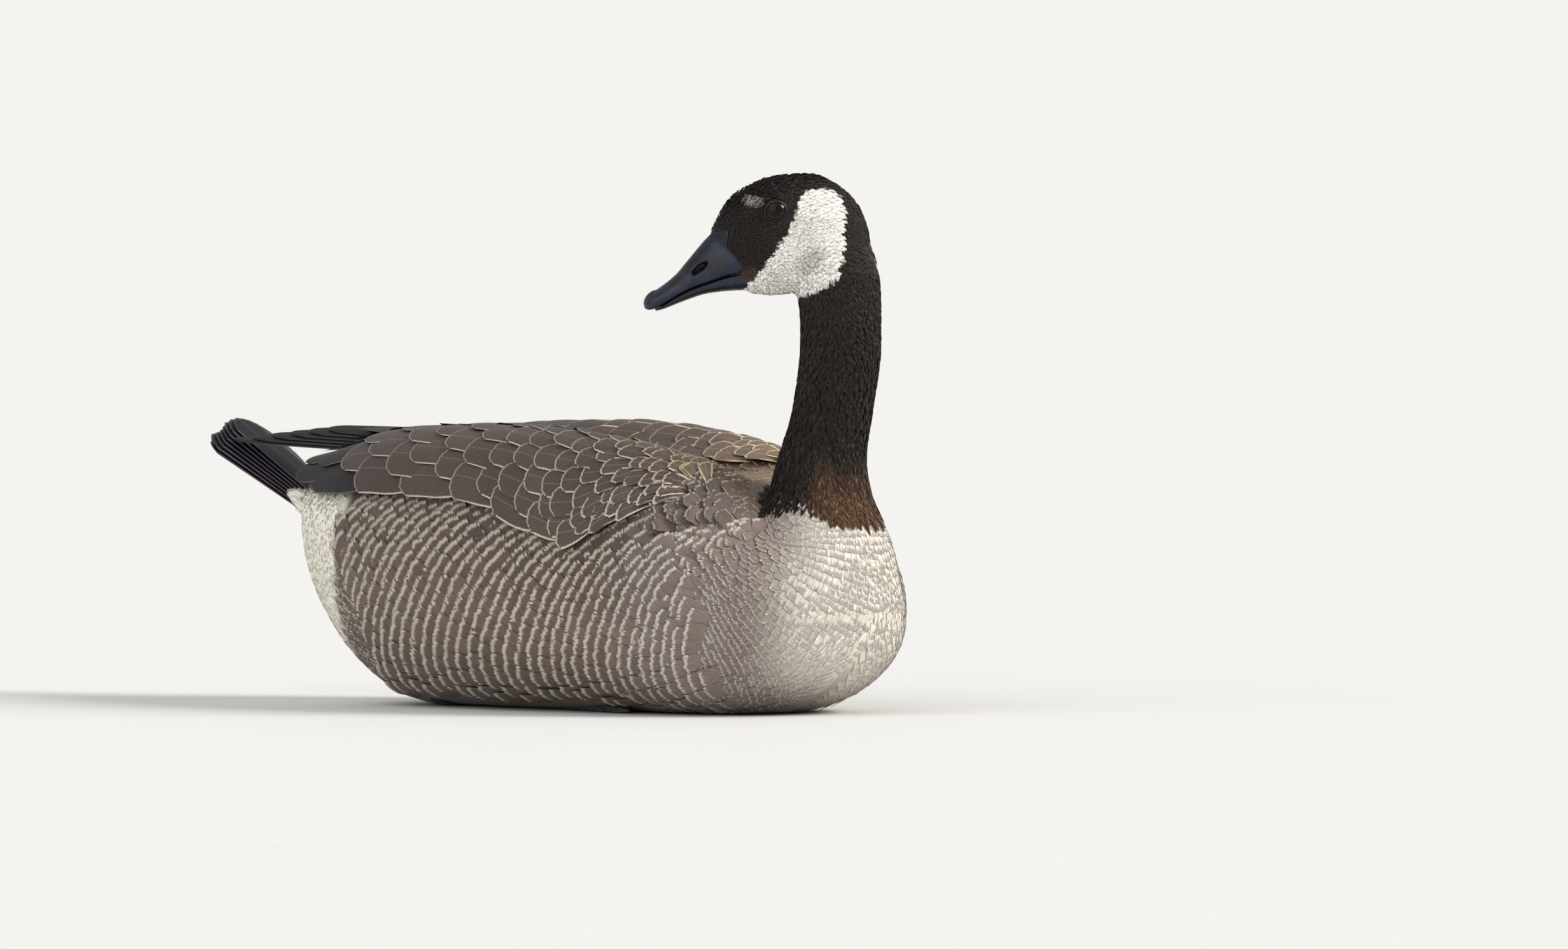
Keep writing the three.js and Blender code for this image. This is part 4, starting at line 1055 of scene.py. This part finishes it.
# The wings: tiers of vanes, each with the place of its roots, its length and its vanes' spacing
WING_TIERS = [
    (112, 13, 6.4), (107.5, 14, 6.8), (102.5, 15, 7.2), (97, 16.5, 7.8), (91, 18, 8.4), (84.5, 20, 9.2),
    (77, 22, 10.2), (69, 25, 11.4), (60, 28, 12.8), (50, 31, 14.2), (39, 35, 15.8), (26, 39, 17.6),
    (12, 43, 19.4), (-3, 47, 21), (-20, 51, 22.4), (-38, 55, 23), (-57, 58, 23), (-77, 60, 23),
    (-97, 60, 22), (-120, 82, 21), (-138, 80, 19),
]


def feather_turn(x, share):
    along_breadth = smoothstep(0.2, 0.7, share) * (1 - 0.7 * smoothstep(0.7, 0.95, share))
    return 0.42 * smoothstep(-10, 90, x) * along_breadth


def wing_roots(rng):
    found = []
    for tier, (tier_x, length, spacing) in enumerate(WING_TIERS):
        breadth = wing_breadth(tier_x)
        count = max(3, round(breadth / spacing))
        for i in range(count):
            share = (i + (0.55 if tier % 2 else 0.1) + rng.uniform(-0.08, 0.08)) / count
            x = tier_x + rng.uniform(-3, 3)
            found.append((x, share, length * rng.uniform(0.94, 1.06), 0.64 * breadth / count, breadth))
    return np.array(found).T


def make_wing(side_name, rng):
    side = SIDES[side_name]
    sign = side["sign"]
    x, share, length, half, breadth = wing_roots(rng)
    turn = (feather_turn(x, share) + rng.uniform(-0.05, 0.05, len(x)))[:, None, None]
    x3, share3, breadth3 = x[:, None, None], share[:, None, None], breadth[:, None, None]

    def place(along, across, height):
        down = across * sign
        px = x3 - along * np.cos(turn) + down * np.sin(turn)
        place_share = share3 + (along * np.sin(turn) + down * np.cos(turn)) / breadth3
        return wing_point(side, px, place_share, height + 0.045 * down)

    rear = 1 - smoothstep(-60, 60, x)
    look = {
        "columns": 20, "rows": 8, "round": 0.2, "power": 3.2, "ragged": 0.5, "root": 0.75, "lift": 1.9,
        "crown": 0.8, "sink": 1.9, "tilt_spread": 0.015, "bow": 0.03, "splay": 0.01, "crowding": 1.5,
        "fringe": 0.95 + 0.15 * (1 - rear), "patch": (0.02, 0.03), "under": 0.8, "thick": 0.45,
    }
    # The wing's upper front takes the sunlit mantle's colours: partly the shoulder's own brown, partly
    # painted sunlight
    sunlit_gold = smoothstep(30, 110, x) * (1 - smoothstep(0.15, 0.6, share))
    colours = mixed(WING, SUNLIT_MANTLE, sunlit_gold)
    colours[0] *= (1 - 0.12 * rear)[:, None]
    shown = share if sign > 0 else share * 0.7
    tips = (1 - smoothstep(-118, -98, x)) * (1 - smoothstep(0.72, 0.95, shown))
    colours = varied(mixed(colours, FLIGHT, tips), rng, fringe_by=0.06)
    uv = np.stack([(x + 240) / 380, 0.05 + 0.4 * share + (0 if sign > 0 else 0.5)], 1)
    return make_vanes(f"wing_coat_{side_name}", place, length, half, look, colours, uv, rng)


def make_lining(side_name):
    """The dark inner wing under the vanes."""
    side = SIDES[side_name]
    x = spread(side["core_end"] + 2, WING_FRONT - 13, 44)[:, None]
    share = np.linspace(0.015, 0.985, 18)
    depth = WING_EDGE + WING_THICKNESS(x) * np.sqrt(4 * share * (1 - share))
    outside = wing_point(side, x, share, np.full((len(x), len(share)), -1.3))
    inside = wing_point(side, x, share[::-1], -0.9 * depth[:, ::-1] - 0.6)
    points, faces = loft(np.concatenate([outside, inside], 1))
    piece = make_mesh(f"wing_lining_{side_name}", points, faces)
    set_colours(piece, "shade", np.tile(FLIGHT[0], (len(points), 1)))
    return piece


# The flight feathers' tips, which stick out behind the folded wings
PRIMARIES = {
    "left": {"root": (-150, 26, 90), "tip": (-289, -20, 95.5), "count": 6, "stagger": 11, "spread": 2.0},
    "right": {"root": (-140, -38, 84), "tip": (-234, -23, 74), "count": 4, "stagger": 6, "spread": -1.0},
}
BLADE_HALF = 7.5
BLADE_STEP = 1.7
BLADE_TILT = 0.42


def make_primaries(name, rng):
    form = PRIMARIES[name]
    start, end = np.array(form["root"], float), np.array(form["tip"], float)
    line = unit(end - start)
    aside = unit(np.array([line[1], -line[0], 0.0]))
    rank = np.arange(form["count"])[:, None, None]

    def place(along, across, height):
        point = start + line * along[..., None] + aside * (across + form["spread"] * rank)[..., None]
        point[..., 2] += WATERLINE + height + BLADE_STEP * rank + BLADE_TILT * across
        return point

    length = np.linalg.norm(end - start) - form["stagger"] * rank[:, 0, 0]
    half = np.full(form["count"], BLADE_HALF)
    look = {
        "columns": 16, "rows": 22, "round": 0.1, "power": 2.4, "ragged": 0.5, "root": 0.85,
        "crown": 0.7, "taper": 0.35, "crowding": 1.3, "fringe": 0.7,
        "patch": (0.05, 0.4), "thick": 0.7, "under": 0.94,
    }
    colours = varied(np.repeat(BLADE, len(half), 1), rng)
    uv = np.stack([0.15 + 0.1 * rank[:, 0, 0], np.full(len(half), 0.5)], 1)
    return make_vanes(f"flight_feathers_{name}", place, length, half, look, colours, uv, rng)


# The tail
TAIL_FAN = math.radians(10.5)
RECTRICES = 16
RECTRIX_HALF = 11.5
RECTRIX_STEP = 1.1


def make_tail(rng):
    i = np.arange(RECTRICES)
    offset = (2 * i - (RECTRICES - 1)) / (RECTRICES - 1)
    turn = (TAIL_FAN * offset)[:, None, None]
    rank = (np.abs(i - (RECTRICES - 1) / 2) + np.where(i < RECTRICES / 2, 0, 0.5))[:, None, None]

    def place(along, across, height):
        return tail_point(
            along * np.cos(turn) - across * np.sin(turn),
            along * np.sin(turn) + across * np.cos(turn),
            height - RECTRIX_STEP * rank,
        )

    length = TAIL_LENGTH - 5 * offset**2 + rng.uniform(-1.5, 1.5, RECTRICES)
    half = np.full(RECTRICES, RECTRIX_HALF)
    look = {
        "columns": 20, "rows": 22, "round": 0.1, "power": 2.6, "ragged": 0.45,
        "crown": 0.5, "crowding": 1.4, "fringe": 1.3,
        "patch": (0.05, 0.4), "thick": 0.6, "under": 0.95,
    }
    # Pale tips and shaft lines: painted sheen
    colours = varied(np.repeat(TAIL, RECTRICES, 1), rng)
    uv = np.stack([0.04 + 0.06 * i, np.full(RECTRICES, 0.5)], 1)
    return make_vanes("tail_feathers", place, length, half, look, colours, uv, rng)


# The bill
NOSTRIL = {"x": 51.7, "z": -13.9, "length": 12.6, "height": 4.3, "depth": 4.5, "tilt": 0.3}


def bill_mesh(name, form, rings, around, shape):
    (rear, _, front, _) = form[0]
    local = head_section(form, spread(rear, front, rings)[:, None], turned(around)[None, :])
    points, faces = loft(from_head(shape(local)))
    return make_mesh(name, points, faces)


def skull_side(x, z):
    """How far the skull reaches sideways at a place in the head's own side view."""
    rear, rear_radius, front, front_radius = SKULL_ENDS
    close = end_rounding(x, rear, rear_radius, front, front_radius)
    middle = SKULL_MIDDLE(x)
    reach = np.where(z > middle, SKULL_TOP(x) - middle, middle - SKULL_BOTTOM(x)) * close
    power = np.where(z > middle, SKULL_POWERS[0], SKULL_POWERS[1])
    share = np.minimum(np.abs(z - middle) / np.maximum(reach, 1e-6), 1)
    return SKULL_HALF(x) * close * (1 - share**power) ** (1 / power)


def upper_shape(local):
    """The upper bill's lobes spread over the skull up to the feathers' edge, and its nostrils sink in."""
    x, y, z = np.moveaxis(local, -1, 0)
    lobe = smoothstep(-0.7, 0.7, x - BILL_EDGE(z)) * (1 - smoothstep(38, 47, x))
    out = np.maximum(np.abs(y), skull_side(x, z) + 0.1)
    y = np.sign(y) * (np.abs(y) + (out - np.abs(y)) * lobe)
    tilt = NOSTRIL["tilt"]
    dx, dz = x - NOSTRIL["x"], z - NOSTRIL["z"]
    along = dx * math.cos(tilt) - dz * math.sin(tilt)
    aside = dx * math.sin(tilt) + dz * math.cos(tilt)
    off = np.hypot(along / (NOSTRIL["length"] / 2), aside / (NOSTRIL["height"] / 2))
    hole = 1 - smoothstep(0.55, 1.0, off)
    rim = np.exp(-((np.hypot(along / 6.6, aside / 2.9) - 1.05) ** 2) / 0.05)
    y = y - np.sign(y) * hole * NOSTRIL["depth"] + np.sign(y) * rim * 0.35
    return vectors(x, y, z)


LAMELLA = 1.7


def lower_shape(local):
    """Closes the mouth: the lower bill's upper face is pressed up into the upper bill."""
    x, y, z = np.moveaxis(local, -1, 0)
    inner = 1 - smoothstep(0.75, 0.95, np.abs(y) / LOWER_HALF(x))
    z = z + 1.2 * inner * (z > LOWER_MIDDLE(x))
    edge = smoothstep(46, 50, x) * (1 - smoothstep(76, 80, x)) * smoothstep(-0.4, 0.4, z - LOWER_MIDDLE(x))
    y = y * (1 + 0.035 * edge * np.sin(x * 2 * math.pi / LAMELLA))
    return vectors(x, y, z)


def ball_slopes(count):
    """Angles from a ball's pole down to its other one, one row for each ring."""
    return ((np.arange(count) + 0.5) * math.pi / count)[:, None]


NAIL = {"radii": (6.2, 4.8, 3.9), "tilt": 0.5, "centre": (82.8, 0.0, -20.2)}


def make_nail():
    turns, slopes = turned(40), ball_slopes(24)
    ball = vectors(np.sin(slopes) * np.cos(turns), np.sin(slopes) * np.sin(turns), np.cos(slopes))
    tilt = np.array(Matrix.Rotation(NAIL["tilt"], 3, "Y"))
    ball = ball * NAIL["radii"] @ tilt.T + NAIL["centre"]
    points, faces = loft(from_head(ball))
    return make_mesh("bill_nail", points, faces)


def make_eye(side_name):
    sign = SIDES[side_name]["sign"]
    turns, slopes = turned(48), ball_slopes(32)
    ball = vectors(np.sin(slopes) * np.cos(turns), np.cos(slopes), -np.sin(slopes) * np.sin(turns))
    points, faces = loft(from_head(ball * EYE_RADIUS + [0.0, sign * EYE_CENTRE_Y, 0.0]))
    return make_mesh(f"eye_ball_{side_name}", points, faces)


LID_HALF = (6.5, 5.45)
LID_TUBE = 0.62
LID_AROUND, LID_RING = 72, 14


def make_lid(side_name, rng):
    sign = SIDES[side_name]["sign"]
    around, ring = turned(LID_AROUND)[:, None], turned(LID_RING)[None, :]
    bumps = 0.1 * np.sin(around * 19) + 0.05 * rng.uniform(-1, 1, (LID_AROUND, 1))
    tube = LID_TUBE * (1 + 0.25 * np.abs(np.cos(around)) + bumps)
    reach = 1 + tube * np.cos(ring) / LID_HALF[0]
    x, z = LID_HALF[0] * reach * np.cos(around), LID_HALF[1] * reach * np.sin(around)
    flat = np.minimum(np.hypot(x, z), EYE_RADIUS - 0.2)
    y = EYE_CENTRE_Y + np.sqrt(EYE_RADIUS**2 - flat**2) + 0.25 + tube * np.sin(ring)
    points = from_head(vectors(x, sign * y, z)).reshape(-1, 3)
    i, j = np.meshgrid(np.arange(LID_AROUND), np.arange(LID_RING), indexing="ij")
    next_i, next_j = (i + 1) % LID_AROUND, (j + 1) % LID_RING
    a, b = i * LID_RING + j, i * LID_RING + next_j
    c, d = next_i * LID_RING + next_j, next_i * LID_RING + j
    faces = np.stack([a, b, c, d], -1).reshape(-1, 4)
    return make_mesh(f"lid_{side_name}", points, faces if sign > 0 else faces[:, ::-1])


# Materials
class Graph:
    """The node tree of one material, with short ways to add nodes."""

    def __init__(self, name, **surface):
        self.material = bpy.data.materials.new(name)
        self.material.use_nodes = True
        self.tree = self.material.node_tree
        self.shader = self.tree.nodes["Principled BSDF"]
        for socket, value in surface.items():
            self.shader.inputs[socket.replace("_", " ")].default_value = value

    def put(self, kind, inputs=(), output=0, **settings):
        node = self.tree.nodes.new(kind)
        for setting, value in settings.items():
            setattr(node, setting, value)
        for key, value in dict(inputs).items():
            if isinstance(value, bpy.types.NodeSocket):
                self.tree.links.new(value, node.inputs[key])
            else:
                node.inputs[key].default_value = value
        return node.outputs[output]

    def math(self, operation, *values, clamp=False):
        return self.put("ShaderNodeMath", dict(enumerate(values)), operation=operation, use_clamp=clamp)

    def attribute(self, name, output="Vector"):
        return self.put("ShaderNodeAttribute", attribute_name=name, output=output)

    def parts(self, vector):
        node = self.tree.nodes.new("ShaderNodeSeparateXYZ")
        self.tree.links.new(vector, node.inputs[0])
        return node.outputs[0], node.outputs[1], node.outputs[2]

    def join(self, x, y, z):
        return self.put("ShaderNodeCombineXYZ", {0: x, 1: y, 2: z})

    def place(self, scale=1000.0):
        """Places on the object, in millimetres."""
        coordinates = self.put("ShaderNodeTexCoord", output="Object")
        return self.put("ShaderNodeVectorMath", {0: coordinates, 3: scale}, operation="SCALE")

    def noise(self, vector, scale, detail=2.0, roughness=0.5):
        inputs = {"Vector": vector, "Scale": scale, "Detail": detail, "Roughness": roughness}
        return self.put("ShaderNodeTexNoise", inputs)

    def ramp(self, value, low, high, start=0.0, end=1.0):
        inputs = {0: value, 1: low, 2: high, 3: start, 4: end}
        return self.put("ShaderNodeMapRange", inputs, interpolation_type="SMOOTHSTEP")

    def mix(self, share, first, second, blend="MIX"):
        node = self.tree.nodes.new("ShaderNodeMix")
        node.data_type = "RGBA"
        node.blend_type = blend
        for socket, value in ((node.inputs[0], share), (node.inputs[6], first), (node.inputs[7], second)):
            if isinstance(value, bpy.types.NodeSocket):
                self.tree.links.new(value, socket)
            else:
                socket.default_value = value
        return node.outputs[2]

    def scaled(self, colour, amount):
        return self.put("ShaderNodeVectorMath", {0: colour, 3: amount}, operation="SCALE")

    def finish(self, colour, bump=None, strength=0.3, depth=0.0003, roughness=None):
        self.tree.links.new(colour, self.shader.inputs["Base Color"])
        if roughness is not None:
            self.tree.links.new(roughness, self.shader.inputs["Roughness"])
        if bump is not None:
            inputs = {"Height": bump, "Strength": strength, "Distance": depth}
            normal = self.put("ShaderNodeBump", inputs)
            self.tree.links.new(normal, self.shader.inputs["Normal"])
        return self.material


BARB_CALM = 0.14
TAG_STEP = 371.0
FRINGE_UNEVEN = 1.6


def coat_material(name, roughness, sheen, slant, barbs, streaks, shaft=0.0, strength=0.35):
    """Feather vanes: barbs that slant from the shaft, a body colour and a ragged pale fringe."""
    graph = Graph(name, Roughness=roughness, Sheen_Weight=sheen, Sheen_Roughness=0.4)
    graph.shader.inputs["Specular IOR Level"].default_value = 0.3
    across, along, tag = graph.parts(graph.attribute("vane"))
    to_side, to_tip, fringe = graph.parts(graph.attribute("rim"))
    aside = graph.math("ABSOLUTE", across)
    barb = graph.math("SUBTRACT", along, graph.math("MULTIPLY", aside, slant))
    where = graph.join(
        graph.math("MULTIPLY", barb, barbs),
        graph.math("MULTIPLY", across, BARB_CALM),
        graph.math("MULTIPLY", tag, TAG_STEP),
    )
    streak = graph.noise(where, 1.0, 3.0, 0.6)
    edge = graph.math("MINIMUM", to_side, to_tip)
    uneven = graph.math("MULTIPLY", graph.math("SUBTRACT", streak, 0.5), FRINGE_UNEVEN)
    from_edge = graph.math("DIVIDE", graph.math("ADD", edge, uneven), fringe)
    rim = graph.ramp(from_edge, 0.45, 1.35, 1.0, 0.0)
    streaked = graph.ramp(streak, 0.3, 0.7, 1 - streaks, 1 + streaks)
    shade = graph.scaled(graph.attribute("shade", "Color"), streaked)
    pale_streaked = graph.ramp(streak, 0.3, 0.7, 1 - streaks / 2, 1 + streaks / 2)
    pale = graph.scaled(graph.attribute("pale", "Color"), pale_streaked)
    if shaft:
        line = graph.ramp(aside, 0.15, 0.5, shaft, 0.0)
        shade = graph.mix(line, shade, pale)
    colour = graph.mix(rim, shade, pale)
    return graph.finish(colour, streak, strength, 0.0004)


def skin_material():
    graph = Graph("skin_down", Roughness=0.8, Sheen_Weight=0.2, Sheen_Roughness=0.4)
    where = graph.place()
    down = graph.noise(where, 0.9, 4.0, 0.65)
    colour = graph.scaled(graph.attribute("shade", "Color"), graph.ramp(down, 0.3, 0.7, 0.75, 1.15))
    return graph.finish(colour, down, 0.5, 0.0008)


def bill_material():
    graph = Graph("bill_horn", Specular_IOR_Level=0.35, Coat_Weight=0.15, Coat_Roughness=0.25)
    where = graph.place()
    broad = graph.noise(where, 0.12, 3.0)
    fine = graph.noise(where, 1.6, 4.0, 0.65)
    # The bill's own horn is near black; the blue mixed into it by broad noise is painted reflection of sky
    slate_and_sky_sheen = graph.mix(graph.ramp(broad, 0.35, 0.7), (*srgb(8, 10, 18), 1), (*srgb(22, 29, 54), 1))
    colour = graph.scaled(slate_and_sky_sheen, graph.ramp(fine, 0.3, 0.7, 0.8, 1.15))
    rough = graph.ramp(graph.noise(where, 0.5, 4.0), 0.3, 0.7, 0.26, 0.5)
    return graph.finish(colour, fine, 0.12, 0.0003, rough)


IRIS_EDGE = (4.4, 5.8)
PUPIL_EDGE = (3.2, 3.7)


def eye_material(side_name):
    graph = Graph(f"eye_{side_name}", Roughness=0.04, Specular_IOR_Level=0.2)
    sign = SIDES[side_name]["sign"]
    centre = from_head(np.array([0.0, sign * (EYE_CENTRE_Y + EYE_RADIUS), 0.0]))
    offset = graph.put("ShaderNodeVectorMath", {0: graph.place(), 1: tuple(centre)}, operation="SUBTRACT")
    radius = graph.put("ShaderNodeVectorMath", {0: offset}, output="Value", operation="LENGTH")
    iris = graph.noise(graph.place(), 2.4, 3.0)
    brown = graph.mix(graph.ramp(iris, 0.3, 0.7), (*srgb(22, 12, 9), 1), (*srgb(42, 23, 15), 1))
    rim = graph.mix(graph.ramp(radius, *IRIS_EDGE), brown, (*srgb(10, 7, 6), 1))
    colour = graph.mix(graph.ramp(radius, *PUPIL_EDGE), (0.002, 0.002, 0.002, 1), rim)
    return graph.finish(colour)


def lid_material():
    graph = Graph("lid_skin", Roughness=0.45)
    where = graph.place()
    # Pale specks on the dark lid: painted glints
    painted_glints = graph.noise(where, 1.3, 2.0)
    colour = graph.mix(graph.ramp(painted_glints, 0.6, 0.72), (*srgb(12, 10, 10), 1), (*srgb(62, 54, 50), 1))
    return graph.finish(colour, painted_glints, 0.4, 0.0003)


def leg_material():
    graph = Graph("leg_scales", Roughness=0.5)
    where = graph.place()
    cells = graph.put("ShaderNodeTexVoronoi", {"Vector": where, "Scale": 0.45}, output="Distance")
    fine = graph.noise(where, 1.5, 3.0)
    tone = graph.mix(graph.ramp(cells, 0.1, 0.9), (*srgb(52, 50, 50), 1), (*srgb(24, 23, 24), 1))
    colour = graph.scaled(tone, graph.ramp(fine, 0.3, 0.7, 0.8, 1.2))
    return graph.finish(colour, cells, 0.6, 0.0006)


def floor_material():
    graph = Graph("studio_floor", Roughness=0.75)
    grain = graph.noise(graph.place(), 0.02, 3.0)
    colour = graph.mix(grain, (0.74, 0.735, 0.72, 1), (0.78, 0.775, 0.76, 1))
    return graph.finish(colour, grain, 0.02, 0.0005)


def dress(piece, material):
    piece.data.materials.clear()
    piece.data.materials.append(material)
    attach(piece, BODY)
    return piece


# Putting the goose together
def skin_shades():
    """The coat's colours on the skin, darkened as painted shade, so that what shows between vanes matches
    them.
    """
    shade = trunk_colours(skin_places)[0]
    upper = neck_colours(skin_places, np.zeros(len(skin_places)))[0]
    above = neck_side(skin_places)[1]
    close = 1 - smoothstep(4, 7, off_neck(skin_places))
    high = smoothstep(90, 95, skin_places[:, 2] - WATERLINE)
    black = smoothstep(-1, 1.5, above) * np.maximum(close, high)
    # Painted shade: the skin is darker than the coat (0.85 of the trunk's colours, 0.7 of the neck's and
    # head's), so the gaps between vanes read darker
    return mixed(shade * 0.85, upper * 0.7, black)


seeded = np.random.default_rng
set_colours(skin, "shade", skin_shades())
set_bake_places(skin, trunk_uv(skin_places))
dress(skin, skin_material())
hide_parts("torso", "neck", "head")

BODY_COAT = coat_material("body_feathers", 0.72, 0.05, 2.0, 1.25, 0.28)
FINE_COAT = coat_material("short_feathers", 0.7, 0.03, 0.4, 3.2, 0.3)
WING_COAT = coat_material("wing_vanes", 0.6, 0.04, 1.1, 1.6, 0.18, shaft=0.12)
FLIGHT_COAT = coat_material("flight_vanes", 0.5, 0.0, 1.3, 1.8, 0.22, shaft=0.5)

for name in SIDES:
    flank = dress(make_flank(name, seeded(11)), BODY_COAT)
    breast = dress(make_breast(name, seeded(12)), BODY_COAT)
    wing = dress(make_wing(name, seeded(13)), WING_COAT)
    lining = dress(make_lining(name), FLIGHT_COAT)
    blades = dress(make_primaries(name, seeded(14)), FLIGHT_COAT)
    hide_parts(f"wing_{name}")

mantle = dress(make_mantle(seeded(15)), BODY_COAT)
vent = dress(make_vent(seeded(16)), BODY_COAT)
neck_coat = dress(make_neck(seeded(17)), FINE_COAT)
head_coat = dress(make_head(seeded(18)), FINE_COAT)
tail = dress(make_tail(seeded(19)), FLIGHT_COAT)
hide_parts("tail")

BILL = bill_material()
upper = dress(bill_mesh("bill_upper_form", UPPER, 140, 96, upper_shape), BILL)
nail = dress(make_nail(), BILL)
lower = dress(bill_mesh("bill_lower_form", LOWER, 240, 56, lower_shape), BILL)
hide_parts("bill_upper")
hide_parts("bill_lower")

LID = lid_material()
for name in SIDES:
    eye = dress(make_eye(name), eye_material(name))
    lid = dress(make_lid(name, seeded(20)), LID)
    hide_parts(f"eye_{name}")

LEG = leg_material()
for name in ("leg_left", "leg_right", "foot_left", "foot_right"):
    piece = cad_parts[name]
    piece.data.materials.clear()
    piece.data.materials.append(LEG)


# The studio: a floor, soft lights and the photo's view
FLOOR_RADIUS = 400.0
FLOOR_LEVEL = -0.0005
bpy.ops.mesh.primitive_circle_add(
    vertices=96, radius=FLOOR_RADIUS, fill_type="NGON", location=(0, 0, FLOOR_LEVEL)
)
floor = bpy.context.object
floor.name = "studio_floor"
floor.data.materials.append(floor_material())

VIEW_AZIMUTH = math.radians(43)
VIEW_RISE = math.radians(1.5)
VIEW_DISTANCE = 12.3
VIEW_TARGET = Vector((0.0663, 0.0619, 0.1318))
FRAME_WIDTH = 0.887
SENSOR = 36.0


def view_direction(azimuth, rise):
    """Towards the viewer. Azimuth 0 looks at the bird's right side, and turns towards its breast."""
    return Vector((
        math.sin(azimuth) * math.cos(rise), -math.cos(azimuth) * math.cos(rise), math.sin(rise),
    ))


def make_camera():
    data = bpy.data.cameras.new("photo_view")
    data.sensor_width = SENSOR
    data.lens = SENSOR * VIEW_DISTANCE / FRAME_WIDTH
    data.clip_end = 200
    camera = bpy.data.objects.new("photo_view", data)
    bpy.context.scene.collection.objects.link(camera)
    back = view_direction(VIEW_AZIMUTH, VIEW_RISE)
    camera.location = VIEW_TARGET + back * VIEW_DISTANCE
    camera.rotation_euler = back.to_track_quat("Z", "Y").to_euler()
    bpy.context.scene.camera = camera


def soft_light(name, azimuth, rise, spread_of, strength, colour=(1, 1, 1)):
    """A light as broad as a studio softbox, even over the whole floor."""
    data = bpy.data.lights.new(name, "SUN")
    data.angle = math.radians(spread_of)
    data.energy = strength
    data.color = colour
    light = bpy.data.objects.new(name, data)
    bpy.context.scene.collection.objects.link(light)
    back = view_direction(math.radians(azimuth), math.radians(rise))
    light.location = VIEW_TARGET + back * 2
    light.rotation_euler = back.to_track_quat("Z", "Y").to_euler()


make_camera()
soft_light("key", 120, 34, 26, 3.0, (1.0, 0.96, 0.9))
soft_light("fill", 10, 30, 60, 0.9, (0.96, 0.98, 1.0))
world = bpy.data.worlds.new("studio_air")
bpy.context.scene.world = world
world.use_nodes = True
world.node_tree.nodes["Background"].inputs["Color"].default_value = (0.86, 0.87, 0.88, 1)
world.node_tree.nodes["Background"].inputs["Strength"].default_value = 0.65
bpy.context.scene.view_settings.view_transform = "Standard"
